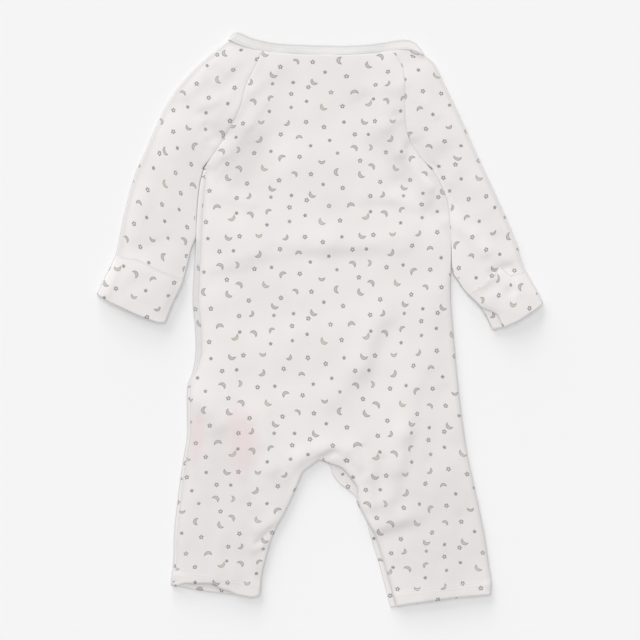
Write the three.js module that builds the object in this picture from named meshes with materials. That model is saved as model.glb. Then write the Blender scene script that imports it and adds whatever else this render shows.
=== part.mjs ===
// A footless baby sleepsuit in printed jersey, laid flat on its front with its back up.
// Millimetres. X runs across the suit, Y from the ankles to the neck, Z up from the surface it lies on.
// Left and right are those of the drawing: left is -X.
import * as THREE from "three";

// ---- Cloth
const wall = 1.2; // one thickness of the jersey
const hemWall = 1.8; // where the jersey is turned up or folded: hems and the neck binding
const air = 0.3; // least gap between layers that lie on each other
const seamGap = 0.5; // gap between two pieces where they are sewn together
const bindingGap = 0.8; // gap between the binding and the neckline that it is sewn to
const edgeGap = 0.7; // gap between a sleeve and the body's side that it lies against
const loft = 1.1; // how far the upper cloth stands off the lower one in the middle of a panel

// ---- Cut
const frontDrop = 24; // how much lower the front neckline is at its middle
const placketWidth = 12; // popper strip along the front's inner legs
const hemDepth = 12; // turned-up hem at each ankle

// ---- Grid steps: rows down the raglan seams, the sides and the legs, and columns across
const raglanRows = 8;
const sideRows = 14;
const crotchRows = 6;
const legRows = 12; // the crotch rows among them
const backColumns = 22;
const frontColumns = 16;
const sleeveColumns = 8;
const curlSteps = 4; // steps in a half turn of cloth at a folded edge
const neckColumns = 26;
const placketLanes = 3;
const mittRows = 5;

const turn = Math.PI;
const lift = hemWall + air; // underside of every upper layer
const lowMiddle = (thickness) => thickness / 2;
const topMiddle = (thickness) => lift + thickness / 2;
const curlRadius = (topMiddle(wall) - lowMiddle(wall)) / 2;
const curlCentre = (topMiddle(wall) + lowMiddle(wall)) / 2;
const curlInset = curlRadius + wall / 2; // from a folded edge to the start of the flat cloth

// A table's rows as objects, so that each figure has its column's name
const table = (names, rows) =>
  rows.map((row) => Object.fromEntries(names.map((name, k) => [name, row[k]])));
const route = (...rows) => table(["x", "y"], rows);

// ---- Outline tables, each from the neck downwards
const neckEdge = route(
  [-72.9, 247], [-69.4, 246.4], [-60.8, 242.7], [-50.8, 239.9], [-35.9, 237.2], [-16.8, 236.2],
  [8.2, 235.4], [20.2, 235.2], [43.9, 236.5], [61, 239.1], [72.3, 240.4], [78.5, 239.4], [82.3, 237],
);
const neckSeam = route(
  [-78.7, 241.3], [-72.7, 237.9], [-61.5, 233.8], [-49.5, 231], [-36.6, 229.3], [-17.6, 228.4],
  [8.2, 227.8], [34, 228.4], [51.2, 230.1], [62, 231.4], [72.7, 232.4], [80, 231.6], [89, 227.6],
);
const raglanLeft = route(
  [-49.5, 231], [-58, 213.8], [-64.1, 200.9], [-69, 182], [-83, 155.3], [-95, 137.3], [-100.2, 129],
);
const raglanRight = route(
  [62, 231.4], [70, 219], [72.7, 205], [72.9, 180], [75, 160], [87.3, 138.5], [95.9, 129],
);
const sideLeft = route(
  [-100.2, 129], [-103, 119], [-104.6, 107.2], [-106, 89.4], [-106.8, 71], [-109, 29.8], [-109.4, 14],
  [-107.5, -6.4], [-107, -27], [-109.4, -44], [-113.8, -56], [-114.5, -76.5], [-114.4, -100],
  [-117.2, -117.1],
);
const sideRight = route(
  [95.9, 129], [103.6, 116.6], [109.7, 100.3], [112.7, 66.9], [112.3, 39.6], [112.3, 16.9], [114, -4.5],
  [117.7, -47.3], [122.7, -89.8], [126.8, -117.1],
);
const legLeftOuter = route(
  [-117.2, -117.1], [-121.9, -149.4], [-125.6, -184.8], [-126.1, -205], [-128, -228.4],
);
const legRightOuter = route(
  [126.8, -117.1], [134.2, -150.4], [141.2, -184], [145.6, -214], [147.2, -223], [146.6, -236.2],
);
const crotchLeft = route([-0.6, -119.9], [-7.7, -125.2], [-14.5, -130.4], [-18, -138], [-21.8, -147]);
const legLeftInner = route(
  [-21.8, -147], [-30.2, -165], [-40.2, -184], [-46.5, -203.9], [-50.5, -221], [-52.2, -237.4],
);
const crotchFront = route(
  [-0.6, -119.9], [8.6, -124.5], [11.5, -133], [17.2, -140.5], [25, -146.5], [30.8, -151.5],
);
const legRightFront = route(
  [30.8, -151.5], [32.6, -158], [40, -171.9], [44.7, -188.7], [51.9, -212.2], [61.1, -247.3],
);
const crotchBack = route([-0.6, -119.9], [8.6, -123], [18.5, -126.8], [26, -135], [32.2, -144]);
const legRightBack = route(
  [32.2, -144], [33.4, -157], [40.4, -171.9], [46.8, -183], [54, -204.4], [66.1, -246.1],
);

// The sleeves' free edges: the outer fold from the neck, and the underarm edge from where it leaves the side
const sleeveLeftOuter = route(
  [-78.7, 241.3], [-102.9, 220.8], [-121.3, 201.2], [-134.5, 180.1], [-150.2, 145], [-158.8, 126.1],
  [-170, 83.9],
  [-175.4, 58], [-186.4, 34.3], [-192, 22.2],
);
const sleeveLeftInner = route(
  [-110.7, 61], [-113.3, 50.1], [-116.6, 37.5], [-120.6, 26.4], [-126.2, 15.5], [-133.4, -2.2],
);
const sleeveRightOuter = route(
  [89, 227.6], [98, 220.6], [105.9, 204.9], [117.4, 181.5], [130.4, 152.4], [144.9, 121.2], [161.6, 84.6],
  [169.2, 65.3], [175.2, 46.2], [187.7, 23.8], [192, 14.6],
);
const sleeveRightInner = route(
  [114.6, 40], [118.6, 33.7], [124.4, 25.1], [137, 12.4], [142.2, 4.6], [148.6, -8.6],
);

// How far the side seam on the left is rolled on to the back, at each height
const rolledSeam = table(
  ["y", "by"],
  [[129, 2.4], [112, 5], [-26, 5.4], [-50, 3.2], [-120, 2.6], [-230, 2.6]],
);
// How far a hem stands off the straight line between its two corners, from the outer leg to the inner leg
const hems = {
  leftBack: table(
    ["across", "off"],
    [[0, 0], [0.15, 3.6], [0.43, 6.1], [0.6, 2], [0.78, -1.4], [0.9, -1.8], [1, 0]],
  ),
  leftFront: table(["across", "off"], [[0, 0], [0.45, -0.9], [0.85, -1.2], [1, 0]]),
  rightBack: table(["across", "off"], [[0, 0], [0.4, 1.2], [0.8, 0.6], [1, 0]]),
  rightFront: table(["across", "off"], [[0, 0], [0.4, 1.6], [1, 0]]),
};
// The cuff's end, from the underarm to the outer fold
const cuffs = {
  left: table(["across", "off"], [[0, 0], [0.12, -2.4], [0.4, -3], [0.75, -2], [1, 0]]),
  right: table(["across", "off"], [[0, 0], [0.25, -2.6], [0.5, -3.6], [0.8, -2], [1, 0]]),
};
// The mitt flaps, from the underarm side to the fold: how deep each is along the sleeve. The right one is
// pulled aside, so that its corner is tucked in from the sleeve's edge by a number of columns at the cuff.
const mitts = {
  left: {
    depth: table(["across", "deep"], [[0, 42.5], [0.2, 42], [0.5, 43], [0.7, 43], [1, 38]]),
    tuck: 0,
  },
  right: {
    depth: table(["across", "deep"], [[0, 34], [0.25, 37], [0.5, 41], [0.66, 43], [0.78, 33], [1, 31]]),
    tuck: 1.7,
  },
};

// Main folds of the upper layer: a ridge where rise is above zero, a trough where it is below
const folds = table(["x1", "y1", "x2", "y2", "rise", "width"], [
  [-44, 219, -79, 173, 1.6, 9], // ridge from the neck to the left underarm
  [-79, 173, -100, 168, 1.2, 9],
  [-30, 204, -51, 170, -0.9, 9], // trough beside it
  [-51, 170, -92, 128, -0.9, 10],
  [-74, 186, -94, 150, 1, 8], // bunched cloth at the left underarm
  [42, 212, 62, 180, -0.9, 9], // trough to the right underarm
  [62, 180, 108, 104, -0.9, 10],
  [72, 168, 94, 122, 1.6, 9], // ridge beside it
  [19, 103, 58, 107, 0.8, 8], // chest crease
  [58, 107, 86, 92, 0.8, 8],
  [-68, 52, -30, 59, 0.7, 7], // crease across the waist
  [-30, 59, 75, 60, 0.6, 7],
  [55, 5, 40, -62, 1.1, 12], // long folds of the right hip
  [89, -55, 72, -128, 1.4, 10],
  [72, -128, 62, -157, 1.2, 9],
  [43, -181, 82, -171, -1, 8], // right knee
  [50, -190, 92, -180, 1, 9],
  [-114, -59, -86, -94, 1.2, 10], // left hip
  [-44, -111, -30, -146, 0.9, 9], // left thigh
  [-110, -190, -96, -222, 0.8, 11],
  [2, -116, 24, -114, 2, 9], // cloth pushed up over the crotch
  [40, -112, 46, -136, 1.2, 7],
  [46, -136, 42, -158, 1, 7],
  [116, 70, 143, 52, 1.2, 8], // soft fold above the right cuff
  [-122, 160, -136, 96, 0.9, 12], // down the middle of each sleeve
  [118, 150, 140, 96, 0.9, 12],
]);

// ---- Helpers
const clamp = (value, low, high) => Math.min(high, Math.max(low, value));
const mix = (a, b, t) => a + (b - a) * t;
const mixPoint = (a, b, t) => ({ x: mix(a.x, b.x, t), y: mix(a.y, b.y, t) });
const smoothStep = (t) => t * t * (3 - 2 * t);
const lastOf = (list) => list[list.length - 1];

// A smooth curve through a route's points, and equally spaced points along it
const curve = (points) =>
  new THREE.CatmullRomCurve3(points.map(({ x, y }) => new THREE.Vector3(x, y, 0)), false, "centripetal");
const spaced = (points, steps) => curve(points).getSpacedPoints(steps);
// Stretches laid end to end, with the point that two share kept once
const chain = (...stretches) => stretches.flatMap((points, k) => (k ? points.slice(1) : points));

// A table's value at a place in its first column, eased from row to row
function read(rows, key, value, at) {
  const rising = lastOf(rows)[key] > rows[0][key];
  const past = rows.findIndex((row) => (rising ? row[key] >= at : row[key] <= at));
  if (past <= 0) return (past < 0 ? lastOf(rows) : rows[0])[value];
  const [from, to] = [rows[past - 1], rows[past]];
  return mix(from[value], to[value], smoothStep((at - from[key]) / (to[key] - from[key])));
}

// Points moved sideways by a distance, square to their route: above zero is to the left of the way it runs
function sideways(points, by) {
  return points.map((point, k) => {
    const before = points[Math.max(0, k - 1)];
    const after = points[Math.min(points.length - 1, k + 1)];
    const length = Math.hypot(after.x - before.x, after.y - before.y);
    const square = { x: -(after.y - before.y) / length, y: (after.x - before.x) / length };
    return { x: point.x + square.x * by, y: point.y + square.y * by };
  });
}

// Height that the folds give the upper layer: each is a rounded ridge or trough round a straight line
function relief(x, y) {
  return folds.reduce((height, { x1, y1, x2, y2, rise, width }) => {
    const [dx, dy] = [x2 - x1, y2 - y1];
    const t = clamp(((x - x1) * dx + (y - y1) * dy) / (dx * dx + dy * dy), 0, 1);
    const away = Math.hypot(x - x1 - dx * t, y - y1 - dy * t) / width;
    return height + rise * Math.exp(-away * away);
  }, 0);
}
// Middle of the upper cloth at a point, where across runs from 0 to 1 between the panel's two edges
function topHeight(x, y, across) {
  const puff = loft * (1 - (2 * across - 1) ** 4);
  return topMiddle(wall) + Math.max(0, puff + relief(x, y));
}

// The closed solid of a sheet of cloth: its middle surface as points and four-cornered cells, half a
// thickness to each side, and a rim along every edge that only one cell has
function cloth(name, colour, points, cells, thicknessAt = () => wall) {
  const used = [...new Set(cells.flat())];
  const place = new Map(used.map((point, k) => [point, k]));
  const normals = used.map(() => new THREE.Vector3());
  for (const cell of cells) {
    const [a, b, c, d] = cell.map((k) => points[k]);
    const normal = new THREE.Vector3().subVectors(c, a).cross(new THREE.Vector3().subVectors(d, b));
    cell.forEach((k) => normals[place.get(k)].add(normal));
  }
  normals.forEach((normal) => normal.normalize());
  const half = (k) => thicknessAt(points[k]) / 2;
  const outer = used.map((k, at) => points[k].clone().addScaledVector(normals[at], half(k)));
  const inner = used.map((k, at) => points[k].clone().addScaledVector(normals[at], -half(k)));
  const corners = [...outer, ...inner].flatMap((point) => point.toArray());
  const below = (k) => place.get(k) + used.length;
  const above = (k) => place.get(k);
  const edges = new Map();
  const faces = [];
  for (const cell of cells) {
    const [a, b, c, d] = cell;
    faces.push(above(a), above(b), above(c), above(a), above(c), above(d));
    faces.push(below(a), below(c), below(b), below(a), below(d), below(c));
    [[a, b], [b, c], [c, d], [d, a]].forEach(([from, to]) => {
      if (!edges.delete(`${to} ${from}`)) edges.set(`${from} ${to}`, [from, to]);
    });
  }
  for (const [from, to] of edges.values()) {
    faces.push(above(from), below(from), below(to), above(from), below(to), above(to));
  }
  const geometry = new THREE.BufferGeometry();
  geometry.setAttribute("position", new THREE.Float32BufferAttribute(corners, 3));
  geometry.setIndex(faces);
  geometry.computeVertexNormals();
  const material = new THREE.MeshStandardMaterial({ color: colour, roughness: 0.9, metalness: 0 });
  const mesh = new THREE.Mesh(geometry, material);
  mesh.name = name;
  return mesh;
}

// Cells between the rows of a grid. Each row lists its points' numbers, with undefined where it has none.
function weave(rows) {
  const cells = [];
  for (let r = 1; r < rows.length; r += 1) {
    for (let c = 1; c < rows[r].length; c += 1) {
      const cell = [rows[r][c - 1], rows[r][c], rows[r - 1][c], rows[r - 1][c - 1]];
      if (!cell.includes(undefined)) cells.push(cell);
    }
  }
  return cells;
}

// ---- Lines that more than one piece uses
const neckSeamLine = curve(neckSeam);
const neckLength = neckSeamLine.getLength();
const drop = (share) => frontDrop * Math.sin(turn * clamp(share, 0, 1)) ** 0.9;
// Share of the neckline at which each raglan seam starts
const neckSamples = neckSeamLine.getSpacedPoints(400);
const shareAt = (x) => neckSamples.findIndex((point) => point.x >= x) / (neckSamples.length - 1);
const neckLeft = shareAt(raglanLeft[0].x);
const neckRight = shareAt(raglanRight[0].x);
// A point of the neckline, on the back or, lower, on the front
const neckline = (share, front) => {
  const { x, y } = neckSeamLine.getPointAt(clamp(share, 0, 1));
  return { x, y: y - seamGap / 2 - (front ? drop(share) : 0) };
};
// How much of the neckline's shape is left in a row of the raglan stretch
const fade = (row) => (1 - clamp(row / raglanRows, 0, 1)) ** 1.5;
// A raglan seam on the back, or the same seam on the front, which starts lower
function raglan(points, share, front) {
  const lower = front ? drop(share) : 0;
  return spaced(points, raglanRows).map(({ x, y }, row) => ({ x, y: y - lower * fade(row) }));
}

// ---- Body
// The arch between the legs, from the crotch down to each ankle, with a point for each row
function arch(front) {
  const inside = (crotch, leg) => chain(spaced(crotch, crotchRows), spaced(leg, legRows - crotchRows));
  const right = front ? inside(crotchFront, legRightFront) : inside(crotchBack, legRightBack);
  return { left: inside(crotchLeft, legLeftInner), right };
}

// Points of an outer leg as far down it, in height, as the points of the inner leg are
function levelWith(inner, outer) {
  const line = curve(outer);
  const [top, foot, innerFoot] = [outer[0].y, lastOf(outer).y, lastOf(inner).y];
  return inner.map(({ y }) => {
    const height = mix(top, foot, (y - inner[0].y) / (innerFoot - inner[0].y));
    let [low, high] = [0, 1];
    for (let halving = 0; halving < 24; halving += 1) {
      const middle = (low + high) / 2;
      if (line.getPoint(middle).y > height) low = middle;
      else high = middle;
    }
    return line.getPoint(high);
  });
}

// The outer edges of the body, a point for each row: raglan seam, side and outer leg
function bodyEdges(front) {
  const inside = arch(front);
  const edge = (seam, share, side, leg, inner) =>
    chain(raglan(seam, share, front), spaced(side, sideRows), levelWith(inner, leg));
  return {
    left: edge(raglanLeft, neckLeft, sideLeft, legLeftOuter, inside.left),
    right: edge(raglanRight, neckRight, sideRight, legRightOuter, inside.right),
  };
}

// Height of an ankle's hem at a place across the suit, on the straight line between its corners
function hemLevel(x) {
  const [from, to] = (x < 0 ? [legLeftOuter, legLeftInner] : [legRightBack, legRightOuter]).map(lastOf);
  return mix(from.y, to.y, clamp((x - from.x) / (to.x - from.x), 0, 1));
}
// The last stretch above each ankle is turned up
const legThickness = ({ x, y }) => (y < hemLevel(x) + hemDepth ? hemWall : wall);

// A body panel as rows of points in plan: the torso between its edges, then a leg to each side of the arch.
// edges and inner have a point for each row, and each point of the grid knows how far across its row it is.
function bodyGrid({ edges, inner, columns, front, hemShapes }) {
  const half = columns / 2;
  const torsoRows = raglanRows + sideRows;
  const crotch = inner.left[0];
  const middleX = (edges.left[0].x + edges.right[0].x) / 2;
  const rows = [];
  for (let r = 0; r <= torsoRows; r += 1) {
    const [left, right] = [edges.left[r], edges.right[r]];
    const middle = { x: mix(middleX, crotch.x, r / torsoRows), y: (left.y + right.y) / 2 };
    const crotchPull = smoothStep(clamp((r - torsoRows + 5) / 5, 0, 1)) * (crotch.y - middle.y);
    const row = [];
    for (let c = 0; c <= columns; c += 1) {
      const across = c / columns;
      const onLeft = c < half;
      const point = onLeft ? mixPoint(left, middle, c / half) : mixPoint(middle, right, (c - half) / half);
      const neck = neckline(mix(neckLeft, neckRight, across), front);
      const straight = mixPoint(edges.left[0], edges.right[0], across);
      const bend = onLeft ? c / half : (columns - c) / half;
      point.y += (neck.y - straight.y) * fade(r) + crotchPull * smoothStep(bend);
      row.push({ ...point, across });
    }
    rows.push(row);
  }
  const legs = [
    { outer: edges.left, inner: inner.left, hem: hemShapes[0], from: 0 },
    { outer: edges.right, inner: inner.right, hem: hemShapes[1], from: half },
  ].map(({ outer, inner: inside, hem, from }) => {
    const leg = [rows[torsoRows].slice(from, from + half + 1)];
    for (let r = 1; r <= legRows; r += 1) {
      const row = [];
      for (let c = 0; c <= half; c += 1) {
        const toInside = from ? 1 - c / half : c / half;
        const point = mixPoint(outer[torsoRows + r], inside[r], toInside);
        point.y += read(hem, "across", "off", toInside) * (r / legRows) ** 4;
        row.push({ ...point, across: c / half });
      }
      leg.push(row);
    }
    return leg;
  });
  return { torso: rows, legs };
}

// Numbers the points of a plan grid and gives each its height
function raise(grid, heightAt, points) {
  const number = (row) => row.map((point) => {
    const { x, y, across } = point;
    return points.push(new THREE.Vector3(x, y, heightAt(x, y, across))) - 1;
  });
  const torso = grid.torso.map(number);
  const last = lastOf(torso);
  const half = grid.legs[0][0].length - 1;
  const joinTo = (k) => last.slice(k * half, (k + 1) * half + 1);
  const legs = grid.legs.map((leg, k) => [joinTo(k), ...leg.slice(1).map(number)]);
  return { torso, legs };
}

// An edge whose raglan stretch is moved off its seam, by half the gap of a seam
function offSeam(edge, by) {
  const moved = sideways(edge, by);
  return edge.map((point, row) => (row < raglanRows ? moved[row] : point));
}

function makeBack(colour) {
  const { left, right } = bodyEdges(false);
  const rolledBy = ({ y }, row) => (row < raglanRows ? 0 : read(rolledSeam, "y", "by", y));
  const onBack = left.map((point, row) => ({ x: point.x + rolledBy(point, row), y: point.y }));
  const edges = { left: sideways(onBack, seamGap / 2), right: offSeam(right, -seamGap / 2) };
  const grid = bodyGrid({
    edges,
    inner: arch(false),
    columns: backColumns,
    front: false,
    hemShapes: [hems.leftBack, hems.rightBack],
  });
  const points = [];
  const extra = (x, y) => (legThickness({ x, y }) - wall) / 2;
  const { torso, legs } = raise(grid, (x, y, across) => topHeight(x, y, across) + extra(x, y), points);
  return cloth("back", colour, points, [torso, ...legs].flatMap(weave), legThickness);
}

function makeFront(colour) {
  const { left, right } = bodyEdges(true);
  const { left: innerLeft, right: innerRight } = arch(true);
  const inset = placketWidth + seamGap;
  const archLine = sideways(chain([...innerLeft].reverse(), innerRight), inset);
  const inner = { left: archLine.slice(0, legRows + 1).reverse(), right: archLine.slice(legRows) };
  const edges = {
    left: left.map(({ x, y }, row) => ({ x: x + (row < raglanRows ? seamGap / 2 : curlInset), y })),
    right: offSeam(right, -seamGap / 2),
  };
  const grid = bodyGrid({
    edges,
    inner,
    columns: frontColumns,
    front: true,
    hemShapes: [hems.leftFront, hems.rightFront],
  });
  const points = [];
  const { torso, legs } = raise(grid, (x, y) => lowMiddle(legThickness({ x, y })), points);
  // The rolled side seam: from the flat front round the left edge and on to the back, row by row
  const rolled = left.map(({ x, y }, row) => {
    if (row < raglanRows) return undefined;
    const thick = legThickness({ x, y });
    const [low, high] = [lowMiddle(thick), topMiddle(thick)];
    const curl = Array.from({ length: curlSteps }, (_, k) => {
      const angle = (turn * (k + 1)) / curlSteps;
      return [x + curlInset - curlRadius * Math.sin(angle), mix(low, high, (1 - Math.cos(angle)) / 2)];
    });
    const seam = x + read(rolledSeam, "y", "by", y) - seamGap / 2;
    const strip = [...curl, [Math.max(seam, x + curlInset + air), high]];
    return strip.map(([at, z]) => points.push(new THREE.Vector3(at, y, z)) - 1);
  });
  const outerPoints = [...torso.map((row) => row[0]), ...legs[0].slice(1).map((row) => row[0])];
  const besideRoll = outerPoints.slice(raglanRows);
  const sideStrip = besideRoll.map((point, k) => [...rolled[raglanRows + k].reverse(), point]);
  const cells = [...[torso, ...legs].flatMap(weave), ...weave(sideStrip)];
  return cloth("front", colour, points, cells.map((cell) => [...cell].reverse()), legThickness);
}

// Popper strip along the front's inner legs, in one run from ankle to ankle
function makePlacket(colour) {
  const { left, right } = arch(true);
  const line = chain([...left].reverse(), right);
  const points = [];
  const rows = Array.from({ length: placketLanes + 1 }, (_, k) => {
    const lane = sideways(line, (placketWidth * k) / placketLanes);
    return lane.map(({ x, y }) => points.push(new THREE.Vector3(x, y, lowMiddle(wall))) - 1);
  });
  return cloth("leg_placket", colour, points, weave(rows).map((cell) => [...cell].reverse()));
}

// ---- Sleeves
const sleeveSides = {
  left: {
    seam: raglanLeft, share: neckLeft, corner: 0, body: sideLeft, away: -1,
    inner: sleeveLeftInner, outer: sleeveLeftOuter, cuff: cuffs.left, freeRows: 12,
  },
  right: {
    seam: raglanRight, share: neckRight, corner: 1, body: sideRight, away: 1,
    inner: sleeveRightInner, outer: sleeveRightOuter, cuff: cuffs.right, freeRows: 12,
  },
};

// A sleeve's two edges, with a point for each row: down the raglan seam or, below it, the body's side and
// the free underarm edge on one side, and the outer fold on the other
function sleeveEdges({ seam, share, body, away, inner, outer, freeRows }, front) {
  const seamLine = raglan(seam, share, front).map(({ x, y }) => ({ x: x + (away * seamGap) / 2, y }));
  const aboveFree = body.filter(({ y }) => y > inner[0].y + 6);
  const beside = aboveFree.map(({ x, y }) => ({ x: x + away * edgeGap, y }));
  const free = spaced([...beside, ...inner], freeRows);
  const fold = spaced(outer, raglanRows + freeRows);
  return { inside: chain(seamLine.slice(0, -1).concat(free[0]), free), fold };
}

// One layer of a sleeve in plan: rows of points from the underarm side to the outer fold
function sleevePlan(side, front) {
  const { inside, fold } = sleeveEdges(side, front);
  return inside.map((from, row) => {
    const to = fold[row];
    const width = Math.hypot(to.x - from.x, to.y - from.y);
    const open = row < raglanRows;
    const [start, end] = [open ? 0 : curlInset / width, 1 - curlInset / width];
    return Array.from({ length: sleeveColumns + 1 }, (_, c) => {
      const across = mix(start, end, c / sleeveColumns);
      const point = mixPoint(from, to, across);
      const neck = neckline(mix(side.share, side.corner, across), front);
      const straight = mixPoint(inside[0], fold[0], across);
      const last = (row / (inside.length - 1)) ** 6;
      point.x += (neck.x - straight.x) * fade(row);
      point.y += (neck.y - straight.y) * fade(row) + read(side.cuff, "across", "off", across) * last;
      const outward = { x: (to.x - from.x) / width, y: (to.y - from.y) / width };
      return { ...point, across: c / sleeveColumns, outward };
    });
  });
}

// Points of a half turn of cloth at an edge, between the upper and the lower layer
function curl(upper, lower, outward) {
  return Array.from({ length: curlSteps - 1 }, (_, k) => {
    const angle = (turn * (k + 1)) / curlSteps;
    const middle = mixPoint(upper, lower, (1 - Math.cos(angle)) / 2);
    const out = curlRadius * Math.sin(angle);
    const z = curlCentre + curlRadius * Math.cos(angle);
    return new THREE.Vector3(middle.x + outward.x * out, middle.y + outward.y * out, z);
  });
}

// The ring of points of each row of a sleeve, from the underarm over the top, round the fold and back.
// Above the underarm the ring is open at the raglan seams.
function sleeveRings(side) {
  const [upper, lower] = [sleevePlan(side, false), sleevePlan(side, true)];
  return upper.map((row, r) => {
    const top = row.map(({ x, y, across }) => new THREE.Vector3(x, y, topHeight(x, y, across)));
    const under = lower[r].map(({ x, y }) => new THREE.Vector3(x, y, lowMiddle(wall))).reverse();
    const [first, last] = [row[0], row[sleeveColumns]];
    const foldTurn = curl(last, lower[r][sleeveColumns], last.outward);
    if (r < raglanRows) return [...top, ...foldTurn, ...under];
    const inward = { x: -first.outward.x, y: -first.outward.y };
    const underarm = curl(first, lower[r][0], inward).reverse();
    return [...top, ...foldTurn, ...under, ...underarm];
  });
}

// Numbers for the rings' points, with the first repeated at the end of each closed ring
function numberRings(rings, points) {
  const longest = Math.max(...rings.map((ring) => ring.length));
  return rings.map((ring) => {
    const row = ring.map((point) => points.push(point) - 1);
    return ring.length === longest ? [...row, row[0]] : [...row, ...Array(longest - ring.length + 1)];
  });
}

// Cells of a piece whose rows run on the left or, mirrored, on the right
const facing = (cells, away) => (away < 0 ? cells.map((cell) => [...cell].reverse()) : cells);

function makeSleeve(name, side, colour) {
  const points = [];
  const rows = numberRings(sleeveRings(side), points);
  return cloth(name, colour, points, facing(weave(rows), side.away));
}

// The fold-over mitt, turned back on to the sleeve's end: points of the sleeve's upper cloth, moved out by
// a layer
function makeMitt(name, side, { depth, tuck }, colour) {
  const rings = sleeveRings(side);
  const last = rings.length - 1;
  const on = (row, column) => {
    const [r, c] = [Math.min(Math.floor(row), last - 1), Math.min(Math.floor(column), sleeveColumns - 1)];
    const before = rings[r][c].clone().lerp(rings[r][c + 1], column - c);
    return before.lerp(rings[r + 1][c].clone().lerp(rings[r + 1][c + 1], column - c), row - r);
  };
  const points = [];
  const rows = Array.from({ length: mittRows + 1 }, (_, r) =>
    Array.from({ length: sleeveColumns + 1 }, (_, c) => {
      const up = r / mittRows;
      const column = mix(tuck * (1 - up) ** 1.5, sleeveColumns, c / sleeveColumns);
      const rowLength = on(last, column).distanceTo(on(last - 2, column)) / 2;
      const row = last - (read(depth, "across", "deep", c / sleeveColumns) / rowLength) * up;
      const { x, y, z } = on(row, column);
      return points.push(new THREE.Vector3(x, y, z + wall + air)) - 1;
    }),
  );
  return cloth(name, colour, points, facing(weave(rows), -side.away));
}

// ---- Neck
// The binding is a band round the neck opening: a strip on the back's neckline, a turn at each shoulder and
// the same strip on the front's lower neckline
function makeBinding(colour) {
  const freeEdge = curve(neckEdge);
  const [low, high] = [lowMiddle(hemWall), topMiddle(hemWall)];
  const radius = (high - low) / 2;
  const inset = radius / neckLength;
  const strip = (share, toSeam, front) => {
    const seam = neckSeamLine.getPointAt(share);
    const free = freeEdge.getPointAt(share);
    const { x, y } = mixPoint(free, seam, toSeam);
    return { x, y: y + toSeam * bindingGap - (front ? drop(share) : 0) };
  };
  // The way out of the cloth at a shoulder, square to the fold across the strip
  const outward = (share) => {
    const [seam, free] = [strip(share, 1, false), strip(share, 0, false)];
    const length = Math.hypot(free.x - seam.x, free.y - seam.y);
    const way = share < 0.5 ? -1 : 1;
    return { x: (way * (free.y - seam.y)) / length, y: (-way * (free.x - seam.x)) / length };
  };
  const points = [];
  const lanes = [0, 0.5, 1].map((toSeam) => {
    const lane = [];
    const add = (share, front, z, out = 0) => {
      const { x, y } = strip(clamp(share, 0, 1), toSeam, front);
      const way = outward(share);
      lane.push(points.push(new THREE.Vector3(x + way.x * out, y + way.y * out, z)) - 1);
    };
    for (let c = 0; c <= neckColumns; c += 1) add(mix(inset, 1 - inset, c / neckColumns), false, high);
    for (let k = 1; k < curlSteps; k += 1) {
      const angle = (turn * k) / curlSteps;
      add(1 - inset, true, (high + low) / 2 + radius * Math.cos(angle), radius * Math.sin(angle));
    }
    for (let c = neckColumns; c >= 0; c -= 1) add(mix(inset, 1 - inset, c / neckColumns), true, low);
    for (let k = 1; k < curlSteps; k += 1) {
      const angle = (turn * k) / curlSteps;
      add(inset, true, (high + low) / 2 - radius * Math.cos(angle), radius * Math.sin(angle));
    }
    return [...lane, lane[0]];
  });
  return cloth("neck_binding", colour, points, weave(lanes), () => hemWall);
}

const jersey = 0xe9e5e6;
const sleepsuit = new THREE.Group();
sleepsuit.add(
  makeBack(jersey),
  makeFront(jersey),
  makePlacket(jersey),
  makeSleeve("left_sleeve", sleeveSides.left, jersey),
  makeSleeve("right_sleeve", sleeveSides.right, jersey),
  makeMitt("left_mitt", sleeveSides.left, mitts.left, jersey),
  makeMitt("right_mitt", sleeveSides.right, mitts.right, jersey),
  makeBinding(jersey),
);
export default sleepsuit;
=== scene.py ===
"""A footless baby sleepsuit in printed jersey, laid flat with its back up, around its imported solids.

Tables are in millimetres, in the frame of the solids: X across the suit, Y from the ankles to the neck,
Z up. Each piece of cloth is a thin shell: a middle surface on a grid of rows and columns, half a thickness
to each side and a rounded rim. It has a second, printed side only where the cloth's face shows.
"""

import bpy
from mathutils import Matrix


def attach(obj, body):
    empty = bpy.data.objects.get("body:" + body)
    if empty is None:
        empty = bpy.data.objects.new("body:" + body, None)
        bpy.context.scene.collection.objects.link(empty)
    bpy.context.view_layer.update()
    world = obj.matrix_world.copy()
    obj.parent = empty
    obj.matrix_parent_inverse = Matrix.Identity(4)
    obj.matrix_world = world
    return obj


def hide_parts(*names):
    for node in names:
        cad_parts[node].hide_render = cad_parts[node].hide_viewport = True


bl_info = {
    "name": "Footless sleepsuit",
    "version": (1, 0, 0),
    "blender": (4, 5, 0),
    "location": "View3D > Sidebar > Sleepsuit",
    "description": "Builds a flat-laid baby sleepsuit in printed jersey around its packed solids",
    "category": "Add Mesh",
}

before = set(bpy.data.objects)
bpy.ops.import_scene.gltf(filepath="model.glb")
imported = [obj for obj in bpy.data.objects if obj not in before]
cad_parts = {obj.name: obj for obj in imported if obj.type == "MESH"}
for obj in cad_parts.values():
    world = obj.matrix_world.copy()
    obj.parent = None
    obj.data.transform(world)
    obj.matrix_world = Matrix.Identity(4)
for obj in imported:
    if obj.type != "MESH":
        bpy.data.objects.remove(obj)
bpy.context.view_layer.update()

import math
from functools import partial

import bpy
import numpy as np
from bpy.props import FloatProperty, FloatVectorProperty, PointerProperty

MM = 0.001

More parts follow.
